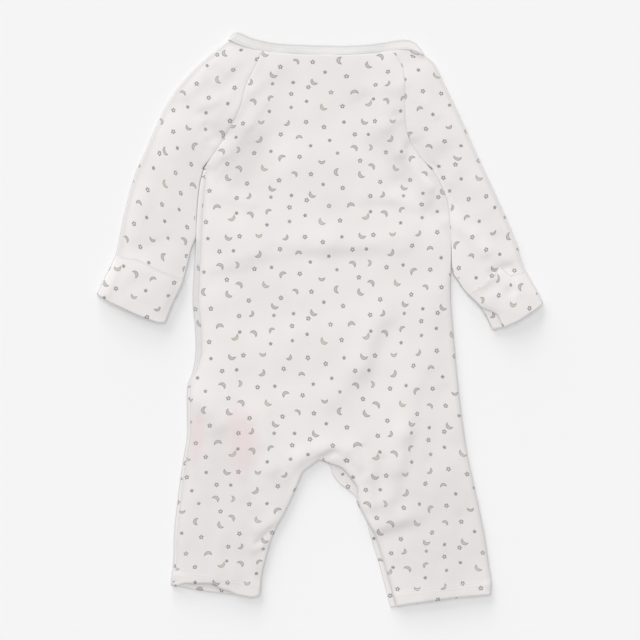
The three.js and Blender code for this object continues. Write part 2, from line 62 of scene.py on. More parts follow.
# ---- Cloth, as in the solids
WALL = 1.2  # one thickness of the jersey
HEM_WALL = 1.8  # where it is turned up or folded
AIR = 0.3  # least gap between layers that lie on each other
LIFT = HEM_WALL + AIR  # underside of every upper layer
LOW = WALL / 2  # middle of the lower cloth
TOP = LIFT + WALL / 2  # middle of the upper cloth, where it lies lowest
LOFT = 1.7  # how far the upper cloth stands off away from a panel's edges
CURL_RADIUS = (TOP - LOW) / 2
CURL_CENTRE = (TOP + LOW) / 2
CURL_INSET = CURL_RADIUS + WALL / 2  # from a folded edge to the start of the flat cloth
CURL_POWER = 0.6  # 1 turns a circle, less a squarer fold
CURL_LIFT = {"side": 0.6, "underarm": -0.4}  # added to the power of a curl's run where it is sheltered
TURN_START = CURL_INSET - 0.3  # the same for the quarter turns in which the panels meet at the right side
TURN_GAP = 0.08  # from where they meet to each of them
TURN_LIFT = 0.45  # how much higher they meet where a sleeve lies against the side
TURN_SHADE = {"back": 0.36, "front": 0.3}  # painted shade on the cloth where it turns
EDGE_GAP = 0.2  # between a sleeve and the side that it lies against
SEAM_GAP = 0.12  # between sewn edges, which the rounded rims close
FRONT_DROP = 24  # how much lower the front neckline is
PLACKET_WIDTH = 12
HEM_DEPTH = 12
HEM_FADE = (3, 4.5)  # from how far below a hem's end its cloth thins, and over how far
HEM_STITCHES = (HEM_DEPTH, HEM_DEPTH - 2.6)  # heights of a hem's two stitched lines
ANKLES = ((-127, -55), (67, 146))  # between which sides they run
BINDING_WIDTH = 8
BINDING_STITCHES = (0.5, 0.78)  # shares of its width, from its free edge to its seam
MITT_OVERHANG = 0.024  # share of a cuff's width by which the mitt covers the curl of its inner edge
MITT_PUFF = 0.4
MITT_EDGE_SHADE = (0.7, 0.9)  # painted shade at a mitt's free edge: how strong it is, and how far in it reaches
BINDING_EDGE_SHADE = (0.8, 0.7)  # the same painted shade at the binding's free edge
PUFF_REACH = 13  # how far in from a panel's edges the upper cloth comes to its full height
NECK_PRESS = (0.12, 14)  # how much lower it is beside the binding, as a share, and how far that reaches
SWELLS = ((0.5, 52, 3), (0.16, 19, 4))  # its uneven swells: height, length and seed
LEAN = (-0.53, 0.85)  # the way towards the neck light, towards the neck and the left: folds lean from it, and cloth that faces it gets painted shade
STEEP = (0.3, 0.5)  # the slope from which cloth that faces LEAN gets painted shade, and over how much it does
SHELTER_SHADE = (0.85, 0.4)  # how much less painted shade there is where sheltered, and how much painted shade its rim gets there
FRONT_PRINT = (38, 27)  # where the front's print starts
MARK_HEIGHT = 3  # height of the middles of the washed marks

# ---- Rows of the grids, counted as in the solids: down the raglan seam, the side and the leg
RAGLAN, SIDE, CROTCH, LEG = 8, 14, 6, 12
TORSO = RAGLAN + SIDE
SLEEVE = 20
# Fine steps inside each of those rows
FINE = {"raglan": 8, "side": 9, "crotch": 4, "leg": 9, "sleeve": 8}
BACK_COLUMNS = 124
FRONT_COLUMNS = 64
SLEEVE_COLUMNS = 40
MITT_ROWS = 44
CURL_STEPS = 8
PLACKET_LANES = 24
PLACKET_STEPS = 280
NECK_STEPS = 200
BINDING_LANES = 17
CURVE_STEPS = 16
STITCH_SIDES = 6

# ---- Outlines, each from the neck downwards
NECK_EDGE = [
    (-72.9, 247), (-69.4, 246.4), (-60.8, 242.7), (-50.8, 239.9), (-35.9, 237.2), (-16.8, 236.2),
    (8.2, 235.4), (20.2, 235.2), (43.9, 236.5), (61, 239.1), (72.3, 240.4), (78.5, 239.4), (82.3, 237),
]
NECK_SEAM = [
    (-78.7, 241.3), (-72.7, 237.9), (-61.5, 233.8), (-49.5, 231), (-36.6, 229.3), (-17.6, 228.4),
    (8.2, 227.8), (34, 228.4), (51.2, 230.1), (62, 231.4), (72.7, 232.4), (80, 231.6), (89, 227.6),
]
RAGLAN_LEFT = [
    (-49.5, 231), (-58, 213.8), (-64.1, 200.9), (-69, 182), (-83, 155.3), (-95, 137.3), (-100.2, 129),
]
RAGLAN_RIGHT = [(62, 231.4), (70, 219), (72.7, 205), (72.9, 180), (75, 160), (87.3, 138.5), (95.9, 129)]
SIDE_LEFT = [
    (-100.2, 129), (-103, 119), (-104.6, 107.2), (-106, 89.4), (-106.8, 71), (-109, 29.8), (-109.4, 14),
    (-107.5, -6.4), (-107, -27), (-109.4, -44), (-113.8, -56), (-114.5, -76.5), (-114.4, -100),
    (-117.2, -117.1),
]
SIDE_RIGHT = [
    (95.9, 129), (103.6, 116.6), (109.7, 100.3), (112.7, 66.9), (112.3, 39.6), (112.3, 16.9),
    (114, -4.5),
    (117.7, -47.3), (122.7, -89.8), (126.8, -117.1),
]
LEG_LEFT_OUTER = [(-117.2, -117.1), (-121.9, -149.4), (-125.6, -184.8), (-126.1, -205), (-128, -228.4)]
LEG_RIGHT_OUTER = [
    (126.8, -117.1), (134.2, -150.4), (141.2, -184), (145.6, -214), (147.2, -223), (146.6, -236.2),
]
CROTCH_LEFT = [(-0.6, -119.9), (-7.7, -125.2), (-14.5, -130.4), (-18, -138), (-21.8, -147)]
LEG_LEFT_INNER = [
    (-21.8, -147), (-30.2, -165), (-40.2, -184), (-46.5, -203.9), (-50.5, -221), (-52.2, -237.4),
]
CROTCH_FRONT = [(-0.6, -119.9), (8.6, -124.5), (11.5, -133), (17.2, -140.5), (25, -146.5), (30.8, -151.5)]
LEG_RIGHT_FRONT = [
    (30.8, -151.5), (32.6, -158), (40, -171.9), (44.7, -188.7), (51.9, -212.2), (61.1, -247.3),
]
CROTCH_BACK = [(-0.6, -119.9), (8.6, -123), (18.5, -126.8), (26, -135), (32.2, -144)]
LEG_RIGHT_BACK = [(32.2, -144), (33.4, -157), (40.4, -171.9), (46.8, -183), (54, -204.4), (66.1, -246.1)]
SLEEVE_LEFT_OUTER = [
    (-78.7, 241.3), (-102.9, 220.8), (-121.3, 201.2), (-134.5, 180.1), (-150.2, 145), (-158.8, 126.1),
    (-170, 83.9), (-175.4, 58), (-186.4, 34.3), (-192, 22.2),
]
SLEEVE_LEFT_INNER = [
    (-110.7, 61), (-113.3, 50.1), (-116.6, 37.5), (-120.6, 26.4), (-126.2, 15.5), (-133.4, -2.2),
]
SLEEVE_RIGHT_OUTER = [
    (89, 227.6), (98, 220.6), (105.9, 204.9), (117.4, 181.5), (130.4, 152.4), (144.9, 121.2),
    (161.6, 84.6), (169.2, 65.3), (175.2, 46.2), (187.7, 23.8), (192, 14.6),
]
SLEEVE_RIGHT_INNER = [(114.6, 40), (118.6, 33.7), (124.4, 25.1), (137, 12.4), (142.2, 4.6), (148.6, -8.6)]

# How far the left side seam is rolled on to the back, by height
ROLLED_SEAM = [(129, 2.4), (112, 5), (-26, 5.4), (-50, 3.2), (-120, 2.6), (-230, 2.6)]
# How far each hem and cuff stands off the straight line between its corners, from the outer to the inner
# edge on a leg and from the underarm to the fold on a sleeve
HEMS = {
    "left_back": [(0, 0), (0.15, 3.6), (0.43, 6.1), (0.6, 2), (0.78, -1.4), (0.9, -1.8), (1, 0)],
    "left_front": [(0, 0), (0.45, -0.9), (0.85, -1.2), (1, 0)],
    "right_back": [(0, 0), (0.4, 1.2), (0.8, 0.6), (1, 0)],
    "right_front": [(0, 0), (0.4, 1.6), (1, 0)],
}
CUFFS = {
    "left": [(0, 0), (0.12, -2.4), (0.4, -3), (0.75, -2), (1, 0)],
    "right": [(0, 0), (0.25, -2.6), (0.5, -3.6), (0.8, -2), (1, 0)],
}
# The mitt flaps' depth along the sleeve, from the underarm side to the fold
MITTS = {
    "left": [(0, 42.5), (0.2, 42), (0.5, 43), (0.7, 43), (1, 38)],
    "right": [(0, 38), (0.25, 40), (0.5, 43), (0.66, 48), (0.78, 36), (1, 32)],
}

# Folds of the upper cloth, as x1, y1, x2, y2, rise and width: a ridge above zero, a trough below
MAIN_FOLDS = [
    # From the neck to the left underarm: a ridge, a lesser one below it and the broad slope beyond
    (-38, 215, -58, 198, 0.5, 7), (-58, 198, -84, 172, 0.6, 7), (-48, 186, -61, 166, 0.4, 4),
    (-61, 166, -80, 141, 0.4, 4), (-26, 198, -40, 158, -0.6, 11), (-40, 158, -56, 134, -0.55, 12),
    (-56, 134, -76, 106, -0.6, 13), (-92, 214, -80, 206, -0.4, 5), (-78, 160, -96, 153, -0.45, 4),
    # To the right underarm: a hollow, a narrow ridge, a second hollow and the raised top of the sleeve
    (36, 188, 48, 150, -0.8, 8), (48, 150, 68, 119, -0.7, 8), (68, 119, 92, 90, -0.8, 7),
    (50, 196, 59, 165, 0.5, 4.5), (59, 165, 70, 143, 0.8, 4.5), (70, 143, 96, 114, 0.8, 4.5),
    (66, 176, 78, 150, -0.7, 4.5), (78, 150, 92, 130, -1.0, 4.5), (92, 130, 109, 100, -1.0, 4.5),
    (90, 197, 103, 154, 1.1, 10), (60, 219, 68, 202, 0.6, 7),
    # Across the chest and the waist
    (40, 104, 62, 104, 0.25, 5), (62, 104, 86, 97, 0.5, 5), (-70, 56, 8, 64, 0.8, 8),
    (8, 64, 70, 63, 0.9, 8),
    # The right hip and thigh
    (50, 0, 34, -42, 0.9, 9), (34, -42, 12, -68, 0.8, 9), (60, -10, 44, -60, -0.7, 9),
    (81, -58, 74, -99, 0.9, 7), (74, -99, 68, -129, 0.9, 6), (68, -129, 58, -160, 0.5, 7),
    # The right knee
    (50, -179, 72, -171, 1.0, 6.5), (49, -187, 70, -179, -0.6, 5), (72, -171, 84, -169, 0.6, 7),
    # The left hip and thigh
    (-114, -59, -88, -91, 0.9, 8), (-104, -92, -80, -126, -0.9, 18), (-50, -84, -39, -128, 0.8, 6),
    (-53, -181, -38, -172, 0.5, 4), (-54, -191, -42, -180, -0.8, 2.4), (-110, -190, -96, -222, 0.6, 11),
    # Cloth pushed up over the crotch
    (1, -118.5, 7, -114.5, -0.9, 2), (7, -114.5, 11, -113, -0.8, 2), (11, -113, 15, -114.5, -0.5, 2),
    (-17, -121, 2, -112, 0.6, 5), (2, -112, 22, -113, 0.5, 5), (30, -112, 42, -134, 0.5, 6),
    (42, -134, 42, -160, 0.4, 6),
    # The sleeves: down the middle of each, and above the right cuff
    (112, 84, 143, 58, 0.55, 4.5), (143, 58, 162, 52, 0.6, 6), (-122, 160, -136, 96, 0.7, 12),
    (118, 150, 140, 96, 0.7, 12),
]
# Lesser creases between them
CREASES = [
    (-98, 166, -86, 157, -0.5, 4), (-92, 131, -84, 140, 0.4, 3), (-97, 152, -88, 148, 0.3, 3.5),
    (-104, 182, -88, 188, 0.48, 4), (-112, 196, -98, 210, 0.48, 6), (-103, 168, -96, 132, 0.4, 4),
    (-62, 205, -86, 168, -0.32, 5), (-120, 186, -98, 176, -0.32, 5), (-88, 206, -74, 220, 0.48, 6),
    (-72, 172, -90, 146, -0.4, 2.6), (-60, 150, -84, 122, -0.3, 4), (66, 196, 68, 172, 0.5, 4),
    (80, 190, 84, 158, 0.4, 4), (74, 146, 100, 108, -0.3, 4), (98, 150, 112, 118, 0.35, 5),
    (104, 110, 96, 96, -0.4, 4), (92, 186, 100, 176, 0.48, 4), (-40, 62, -6, 55, -0.32, 4),
    (20, 55, 66, 64, -0.32, 5), (-92, 44, -64, 48, 0.4, 5), (28, 98, 62, 98, -0.2, 5),
    (10, 150, 34, 138, 0.24, 8), (-50, 120, -22, 132, 0.24, 9), (-90, 108, -60, 100, 0.4, 6),
    (-80, 10, -66, -40, 0.32, 9), (-18, 20, -30, -30, 0.24, 10), (14, -20, 22, -70, 0.24, 9),
    (100, 20, 94, -40, 0.4, 7), (104, -62, 96, -120, -0.4, 6), (-98, -90, -88, -140, -0.32, 7),
    (-72, -100, -66, -150, 0.36, 7), (36, -110, 38, -128, -0.48, 3), (52, -120, 50, -150, -0.4, 3.5),
    (24, -122, 34, -132, -0.4, 3), (44, -160, 60, -154, 0.48, 5), (96, -150, 104, -196, 0.4, 7),
    (120, -170, 126, -220, -0.4, 6), (84, -196, 92, -236, 0.4, 7), (104, -206, 112, -236, 0.32, 6),
    (-42, -190, -56, -197, 0.64, 3.4), (-70, -176, -76, -222, 0.4, 7),
    (-100, -160, -108, -196, -0.32, 7),
    (-84, -186, -90, -222, 0.32, 5), (-16, -118, -30, -136, 0.4, 5), (-62, -196, -58, -224, 0.32, 5),
    (-128, 134, -140, 96, -0.32, 7), (-150, 112, -158, 72, 0.4, 6), (-132, 70, -150, 60, -0.32, 6),
    (122, 122, 132, 84, -0.4, 6), (140, 110, 152, 78, 0.4, 6), (148, 42, 160, 46, -0.8, 3),
    (150, 44, 160, 30, 0.4, 4), (112, 84, 132, 74, 0.4, 5),
]
MITT_CREASES = {
    "left": [(-174, 54, -184, 22, 0.5, 5), (-140, 40, -128, 14, 0.3, 6), (-160, 30, -150, 12, -0.25, 7)],
    "right": [
        (162, 48, 164, 26, -0.8, 3), (168, 46, 170, 22, 0.35, 4), (140, 28, 156, 42, 0.4, 4),
        (134, 22, 150, 30, -0.4, 4), (150, 14, 172, 6, 0.3, 6),
    ],
}

# ---- The print: stars and moons in one repeat, from its upper left corner right and down. A moon opens
# towards its turn, in degrees from +X, and a star points that way.
REPEAT = (115.5, 101.2)
PRINT_START = (-55.5, 121.8)
# Across, down, kind, turn and tint
MOTIFS = [
    (20, 1, "star", 90, "grey"), (107.5, 2.8, "star", 60, "grey"), (57.3, 5, "dot", 80, "grey"),
    (74.2, 8.2, "star", 20, "grey"), (14, 8, "moon", 60, "grey"), (48, 14, "moon", 50, "grey"),
    (109.3, 14.3, "small_moon", 150, "grey"), (30.5, 14.5, "dot", 90, "grey"),
    (98.5, 15.5, "star", 40, "grey"), (13.2, 15.8, "dot", 90, "tan"), (43.5, 18.7, "star", 70, "grey"),
    (62.7, 23.8, "star", 90, "tan"), (81.5, 23.5, "moon", -80, "grey"), (29, 25, "star", 30, "grey"),
    (11, 28.5, "small_moon", -50, "grey"), (98.8, 29.2, "dot", 60, "grey"),
    (94.8, 33.4, "moon", 125, "tan"), (111, 31, "moon", -130, "grey"), (42.2, 32, "dot", 100, "grey"),
    (72.3, 36.5, "star", 90, "grey"), (56.5, 37.5, "moon", 45, "tan"), (29, 37.2, "dot", 70, "tan"),
    (9.8, 40, "dot", 90, "grey"), (2.6, 48.8, "small_moon", 90, "tan"),
    (101.4, 49.3, "star", 80, "grey"), (91.5, 50, "moon", 65, "grey"), (42, 50.5, "star", -90, "grey"),
    (73.8, 50.6, "dot", 90, "grey"), (25.5, 51, "small_moon", 135, "grey"),
    (57.3, 55, "star", 100, "grey"),
    (20.3, 60.8, "star", -90, "grey"), (95.5, 61.3, "dot", 40, "grey"),
    (83.3, 61.5, "star", 50, "grey"),
    (36.2, 64.3, "small_moon", -85, "grey"), (1.5, 65, "moon", 140, "grey"),
    (62.3, 67, "dot", 0, "grey"),
    (46.2, 72, "dot", 90, "grey"), (98, 73.3, "small_moon", 180, "tan"),
    (83.5, 74, "moon", -125, "grey"),
    (12.5, 76.2, "dot", 90, "grey"), (113.2, 77.2, "star", 90, "grey"), (69.3, 78.7, "dot", 90, "tan"),
    (37, 82, "star", -90, "grey"), (22, 82.5, "moon", -50, "grey"), (89, 85.5, "star", 90, "grey"),
    (56, 86.3, "small_moon", 90, "grey"), (99.8, 90.5, "moon", -130, "grey"),
    (7, 91, "moon", 50, "tan"),
    (69, 95.5, "moon", 0, "grey"), (33, 97, "small_moon", -130, "grey"),
    (46.8, 97.3, "star", 90, "grey"),
    (90.2, 98, "moon", 40, "grey"),
]
# Each kind's shape (1 star, 2 moon), its radius and the width of its outline
KINDS = {
    "star": {"shape": 1, "radius": 2.5, "line": 0.95},
    "dot": {"shape": 1, "radius": 2.0, "line": 2.0},
    "moon": {"shape": 2, "radius": 3.3, "line": 0.65},
    "small_moon": {"shape": 2, "radius": 2.8, "line": 0.65},
}

# How far the back's print is dragged by the way the cloth lies, as x, y, to the right and down
DRAG_REACH = 26  # how far round each place its drag is felt
DRAG = [
    (-55, 220, 1, 4.5), (0, 220, 2.5, 5.5), (52, 218, 8, 8), (-85, 175, 6.5, 8), (-55, 175, 2, 3.5),
    (0, 175, 1.5, 2.5), (40, 175, 3.5, 2.5), (66, 178, -2, 3.5), (78, 138, -5, 3.5), (-85, 130, 3, 4),
    (-55, 130, 0, 1), (0, 130, 1, 0.5), (50, 130, 1, 0), (95, 115, -2, -2), (-90, 85, 0.5, 1),
    (-50, 85, 0, 0),
    (0, 85, 0.5, 0), (50, 85, 0, -0.5), (100, 85, -1, -4.5), (-90, 40, 2, 2), (-50, 40, 1.5, 0.5),
    (0, 40, 1, 0), (50, 40, -0.5, -0.5), (100, 40, -2.5, -3.5), (-95, -5, 3.5, 3), (-50, -5, 3, 1),
    (0, -5, 2, 0.5), (50, -5, 0, 1), (105, -5, -2.5, -4.5), (-95, -50, 3.5, 3.5), (-50, -50, 4.5, 1),
    (0, -50, 3.5, 4), (50, -50, 2, 2.5), (105, -50, -1, -2.5), (-95, -95, 2, 2), (-50, -95, 3, 0.5),
    (0, -95, 3.5, 3.5), (55, -95, 6.5, 3.5), (105, -95, 3, -3.5), (-95, -140, -1, -0.5),
    (-45, -140, -1, 1.5), (60, -140, 11.5, 4), (110, -140, 9.5, -3), (-100, -185, -5, -3.5),
    (-55, -185, -6, 0), (70, -185, 17.5, 4), (125, -185, 15.5, -5), (-105, -230, -10.5, -7.5),
    (-65, -230, -10, -5), (80, -230, 21, 0), (130, -230, 21, -6.5),
]

# Marks on the back, as x, y, half width, half height, strength: pink ones, which are stains, and grey ones,
# which are painted shade at the underarms, the left hip and the right thigh and darken both legs
PINK_MARKS = [(-105, -104, 9, 30, 0.8), (-68, -108, 20, 38, 0.9)]
GREY_SHADE_MARKS = [
    (-88, -104, 14, 34, 0.6), (-88, -170, 70, 90, 0.75), (102, -175, 70, 100, 0.75),
    (-66, 140, 30, 44, 0.7), (64, 150, 22, 50, 0.6), (96, 108, 16, 26, 0.6), (56, -140, 26, 40, 0.6),
]


# ---- Plan: lines and tables
def smooth_line(points):
    """Centripetal Catmull-Rom curve through the points: between two of them, a cubic whose end slopes are
    weighed by the square roots of the three chords around it."""
    p = np.array(points, float)
    p = np.vstack([2 * p[0] - p[1], p, 2 * p[-1] - p[-2]])
    before, start, end, after = p[:-3], p[1:-2], p[2:-1], p[3:]
    chords = ((before, start), (start, end), (end, after))
    knot = [np.linalg.norm(b - a, axis=1)[:, None] ** 0.5 for a, b in chords]
    leave = (start - before) / knot[0] - (end - before) / (knot[0] + knot[1]) + (end - start) / knot[1]
    arrive = (end - start) / knot[1] - (after - start) / (knot[1] + knot[2]) + (after - end) / knot[2]
    leave, arrive = leave * knot[1], arrive * knot[1]
    t = np.linspace(0, 1, CURVE_STEPS, endpoint=False)[None, :, None]
    a, b, u, v = (part[:, None, :] for part in (start, end, leave, arrive))
    line = a + u * t + (3 * (b - a) - 2 * u - v) * t**2 + (2 * (a - b) + u + v) * t**3
    return np.vstack([line.reshape(-1, 2), p[-2]])


def run_of(line):
    """Length along a line up to each of its points."""
    return np.concatenate([[0], np.cumsum(np.linalg.norm(np.diff(line, axis=0), axis=1))])


def run_over(grid, axis):
    """Length along each row or column of a grid of points, up to each of them."""
    step = np.diff(grid, axis=axis, prepend=np.take(grid, [0], axis=axis))
    return np.cumsum(np.linalg.norm(step, axis=2), axis=axis)


def along(line, share):
    """Points at shares of a line's length, from 0 to 1, for an array of any shape."""
    run = run_of(line) / run_of(line)[-1]
    return np.stack([np.interp(share, run, line[:, k]) for k in (0, 1)], axis=-1)


def smooth_step(t):
    """3t^2 - 2t^3 between 0 and 1."""
    t = np.clip(t, 0, 1)
    return t * t * (3 - 2 * t)


def eased(rows, at):
    """A two-column table's value, with a smooth step from row to row."""
    rows = np.array(rows, float)
    if rows[-1, 0] < rows[0, 0]:
        rows = rows[::-1]
    k = np.clip(np.searchsorted(rows[:, 0], at, side="left"), 1, len(rows) - 1)
    step = smooth_step((at - rows[k - 1, 0]) / (rows[k, 0] - rows[k - 1, 0]))
    return rows[k - 1, 1] + (rows[k, 1] - rows[k - 1, 1]) * step


def mix(a, b, t):
    """From a at t = 0 to b at t = 1, in a straight line."""
    return a + (b - a) * t


def away_from(line, x, y):
    """Distance of each place from a line: the least over its straight steps."""
    best = np.full(np.shape(x), 1e9)
    for (x1, y1), (x2, y2) in zip(line[:-1], line[1:]):
        dx, dy = x2 - x1, y2 - y1
        t = np.clip(((x - x1) * dx + (y - y1) * dy) / max(dx * dx + dy * dy, 1e-9), 0, 1)
        best = np.minimum(best, np.hypot(x - x1 - dx * t, y - y1 - dy * t))
    return best


def fold_relief(table, x, y):
    """Sum of rise * exp(-(distance / width)^2) round each fold's line. Folds lean away from LEAN: a ridge's
    width is 1.9 times as great on the side towards it and 0.85 on the other, a trough's the reverse."""
    height = np.zeros(np.shape(x))
    for x1, y1, x2, y2, rise, width in table:
        dx, dy = x2 - x1, y2 - y1
        t = np.clip(((x - x1) * dx + (y - y1) * dy) / (dx * dx + dy * dy), 0, 1)
        off_x, off_y = x - x1 - dx * t, y - y1 - dy * t
        away = np.hypot(off_x, off_y)
        side = (off_x * LEAN[0] + off_y * LEAN[1]) / np.maximum(away, 1e-6) * np.sign(rise)
        height += rise * np.exp(-((away / (width * mix(0.85, 1.9, (1 + side) / 2))) ** 2))
    return height


def undulation(x, y, scale, seed):
    """Soft uneven swell: the mean of eight plane waves sin(2 pi run / length + phase), whose directions,
    lengths round scale and phases are drawn from the seed."""
    draw, count = np.random.default_rng(seed), 8
    angles, phases = draw.uniform(0, np.pi, count), draw.uniform(0, 2 * np.pi, count)
    lengths = scale * draw.uniform(0.7, 1.6, count)
    waves = zip(angles, lengths, phases)
    return sum(np.sin(2 * np.pi * (x * np.cos(a) + y * np.sin(a)) / n + p) for a, n, p in waves) / count


NECK_SEAM_LINE = smooth_line(NECK_SEAM)
NECK_EDGE_LINE = smooth_line(NECK_EDGE)
RAGLAN_LINES = {"left": smooth_line(RAGLAN_LEFT), "right": smooth_line(RAGLAN_RIGHT)}
SLEEVE_FOLDS = {"left": smooth_line(SLEEVE_LEFT_OUTER), "right": smooth_line(SLEEVE_RIGHT_OUTER)}
# Shares of the neckline at which the raglan seams meet it
NECK_RUN = run_of(NECK_SEAM_LINE) / run_of(NECK_SEAM_LINE)[-1]
SEAM_SHARES = {
    side: float(np.interp(line[0, 0], NECK_SEAM_LINE[:, 0], NECK_RUN))
    for side, line in RAGLAN_LINES.items()
}
# Seams that lie flat and sides with a sleeve against them, each with how far its shelter reaches
JOINTS = [
    (RAGLAN_LINES["left"], 4), (RAGLAN_LINES["right"], 4),
    (smooth_line([place for place in SIDE_LEFT if place[1] > 61]), 4),
    (smooth_line([place for place in SIDE_RIGHT if place[1] > 39]), 4),
    (smooth_line([(x + eased(ROLLED_SEAM, y), y) for x, y in SIDE_LEFT + LEG_LEFT_OUTER[1:]]), 1.4),
    (NECK_SEAM_LINE, 1.4),
]


def neck_drop(share):
    """How much lower the front neckline is: the full drop times sin(pi share)^0.9."""
    return FRONT_DROP * np.sin(np.pi * np.clip(share, 0, 1)) ** 0.9


def neckline(share, front):
    """A place on the neckline, on the back or, lower, on the front."""
    place = along(NECK_SEAM_LINE, np.clip(share, 0, 1))
    place[..., 1] -= SEAM_GAP / 2 + (neck_drop(share) if front else 0)
    return place


def neck_fade(row):
    """How much of the neckline's shape is left in a row of the raglan stretch."""
    return (1 - np.clip(row / RAGLAN, 0, 1)) ** 1.5


def raglan_edge(side, row, front):
    """A place on a raglan seam, which starts lower on the front."""
    place = along(RAGLAN_LINES[side], np.clip(row / RAGLAN, 0, 1))
    place[..., 1] -= (neck_drop(SEAM_SHARES[side]) if front else 0) * neck_fade(row)
    return place


def steps(start, stop, fine):
    """Row numbers from start to stop with fine steps in each row, without the last."""
    return np.linspace(start, stop, (stop - start) * fine, endpoint=False)


TORSO_ROWS = np.concatenate([
    steps(0, RAGLAN, FINE["raglan"]), steps(RAGLAN, TORSO, FINE["side"]), [TORSO],
])
LEG_ROWS = np.concatenate([steps(0, CROTCH, FINE["crotch"]), steps(CROTCH, LEG, FINE["leg"]), [LEG]])
BODY_ROWS = np.concatenate([TORSO_ROWS, TORSO + LEG_ROWS[1:]])


def arch(front):
    """The two inner legs, from the crotch to the ankles, a place for each leg row."""

    def inside(crotch, leg):
        """One of them: places at even shares of the crotch's stretch, then of the leg's."""
        line = smooth_line(crotch + leg[1:])
        turn = run_of(line)[(len(crotch) - 1) * CURVE_STEPS] / run_of(line)[-1]
        return along(line, np.interp(LEG_ROWS, (0, CROTCH, LEG), (0, turn, 1)))

    right = (CROTCH_FRONT, LEG_RIGHT_FRONT) if front else (CROTCH_BACK, LEG_RIGHT_BACK)
    return {"left": inside(CROTCH_LEFT, LEG_LEFT_INNER), "right": inside(*right)}


def level_with(inner, outer):
    """Places of an outer leg as far down it, in height, as the places of the inner leg are."""
    line = smooth_line(outer)
    down = (inner[:, 1] - inner[0, 1]) / (inner[-1, 1] - inner[0, 1])
    height = mix(line[0, 1], line[-1, 1], down)
    return np.stack([np.interp(-height, -line[:, 1], line[:, 0]), height], axis=-1)


def body_edges(front):
    """Outer edges of the body for each row: raglan seam, side, outer leg."""
    inner = arch(front)
    edges = {}
    for side, flank, leg in (("left", SIDE_LEFT, LEG_LEFT_OUTER), ("right", SIDE_RIGHT, LEG_RIGHT_OUTER)):
        seam = raglan_edge(side, TORSO_ROWS, front)
        flank_line = along(smooth_line(flank), np.clip((TORSO_ROWS - RAGLAN) / SIDE, 0, 1))
        torso = np.where((TORSO_ROWS < RAGLAN)[:, None], seam, flank_line)
        edges[side] = np.vstack([torso, level_with(inner[side], leg)[1:]])
    return edges


def sideways(line, by):
    """A line moved square to itself, to the left of the way it runs when by is above zero."""
    slope = np.gradient(line, axis=0)
    slope /= np.maximum(np.linalg.norm(slope, axis=1)[:, None], 1e-9)
    return line + np.stack([-slope[:, 1], slope[:, 0]], axis=-1) * np.reshape(by, (-1, 1))


def hem_level(x):
    """Height of the straight line between an ankle's two corners."""
    ankles = (LEG_LEFT_OUTER[-1], LEG_LEFT_INNER[-1]), (LEG_RIGHT_BACK[-1], LEG_RIGHT_OUTER[-1])
    left, right = (np.interp(x, (a[0], b[0]), (a[1], b[1])) for a, b in ankles)
    return np.where(x < 0, left, right)


def leg_thickness(x, y):
    """The jersey's wall, thicker over the turned-up hem, with a soft step where the hem ends."""
    below, reach = HEM_FADE
    return mix(HEM_WALL, WALL, smooth_step((y - hem_level(x) - HEM_DEPTH + below) / reach))


def body_plan(edges, inner, columns, front, hems):
    """A body panel in plan: the torso's rows between its edges, then a leg to each side of the arch.
    The torso's places bend down to the crotch, and up to the neckline in the raglan rows. A hem's table
    bends the leg's rows by (row / LEG)^4."""
    half = columns // 2
    across = np.linspace(0, 1, columns + 1)[None, :, None]
    left, right = (edges[side][: len(TORSO_ROWS), None, :] for side in ("left", "right"))
    rows = TORSO_ROWS[:, None]
    crotch = inner["left"][0]
    middle_x = mix((edges["left"][0, 0] + edges["right"][0, 0]) / 2, crotch[0], rows / TORSO)
    middle_y = (left[..., 1] + right[..., 1]) / 2
    middle = np.stack([middle_x, middle_y], axis=-1)
    torso = np.where(across < 0.5, mix(left, middle, across * 2), mix(middle, right, across * 2 - 1))
    share = mix(SEAM_SHARES["left"], SEAM_SHARES["right"], across[..., 0])
    neck = neckline(share, front)[..., 1]
    straight = mix(edges["left"][0, 1], edges["right"][0, 1], across[..., 0])
    pull = smooth_step((rows - TORSO + 5) / 5) * (crotch[1] - middle_y)
    bend = 1 - np.abs(2 * across[..., 0] - 1)
    torso[..., 1] += (neck - straight) * neck_fade(rows) + pull * smooth_step(bend)
    legs = []
    for side, hem in zip(("left", "right"), hems):
        outer = edges[side][len(TORSO_ROWS) - 1 :, None, :]
        inside = inner[side][:, None, :]
        to_inside = np.linspace(0, 1, half + 1)[None, :, None]
        if side == "right":
            to_inside = 1 - to_inside
        leg = mix(outer, inside, to_inside)
        leg[..., 1] += eased(HEMS[hem], to_inside[..., 0]) * (LEG_ROWS[:, None] / LEG) ** 4
        legs.append(leg)
    return torso, legs


def body_surface(torso, legs, height):
    """Points of a body panel, the index grids of its torso and its two legs, and each point's distance
    inward from the nearest side, leg or arch. height(x, y, inward) gives the middle of the cloth."""
    half = (torso.shape[1] - 1) // 2
    plan = np.concatenate([part.reshape(-1, 2) for part in (torso, legs[0][1:], legs[1][1:])])
    first = RAGLAN * FINE["raglan"]
    sides = [torso[first::4, 0], torso[first::4, -1], legs[0][::4, 0], legs[1][::4, -1]]
    arch_line = np.vstack([legs[0][::-4, -1], torso[-1:, half], legs[1][::4, 0]])
    x, y = plan.T
    inward = np.minimum.reduce([away_from(line, x, y) for line in sides + [arch_line]])
    for line in SLEEVE_FOLDS.values():
        inward = np.minimum(inward, np.maximum(away_from(line[::3], x, y) - CURL_INSET, 0))
    points = np.column_stack([plan, height(x, y, inward)])
    sheets = [index_grid(torso.shape)]
    used = sheets[0].size
    for k, leg in enumerate(legs):
        own = index_grid((leg.shape[0] - 1, half + 1), used)
        used += own.size
        sheets.append(np.vstack([sheets[0][-1, k * half : (k + 1) * half + 1], own]))
    return points, sheets, inward


def fold_edge_shade(inward, strength=0.28, width=1.7):
    """How much painted shade the cloth gets beside a fold: strength * exp(-(inward / width)^2)."""
    return strength * np.exp(-((inward / width) ** 2))


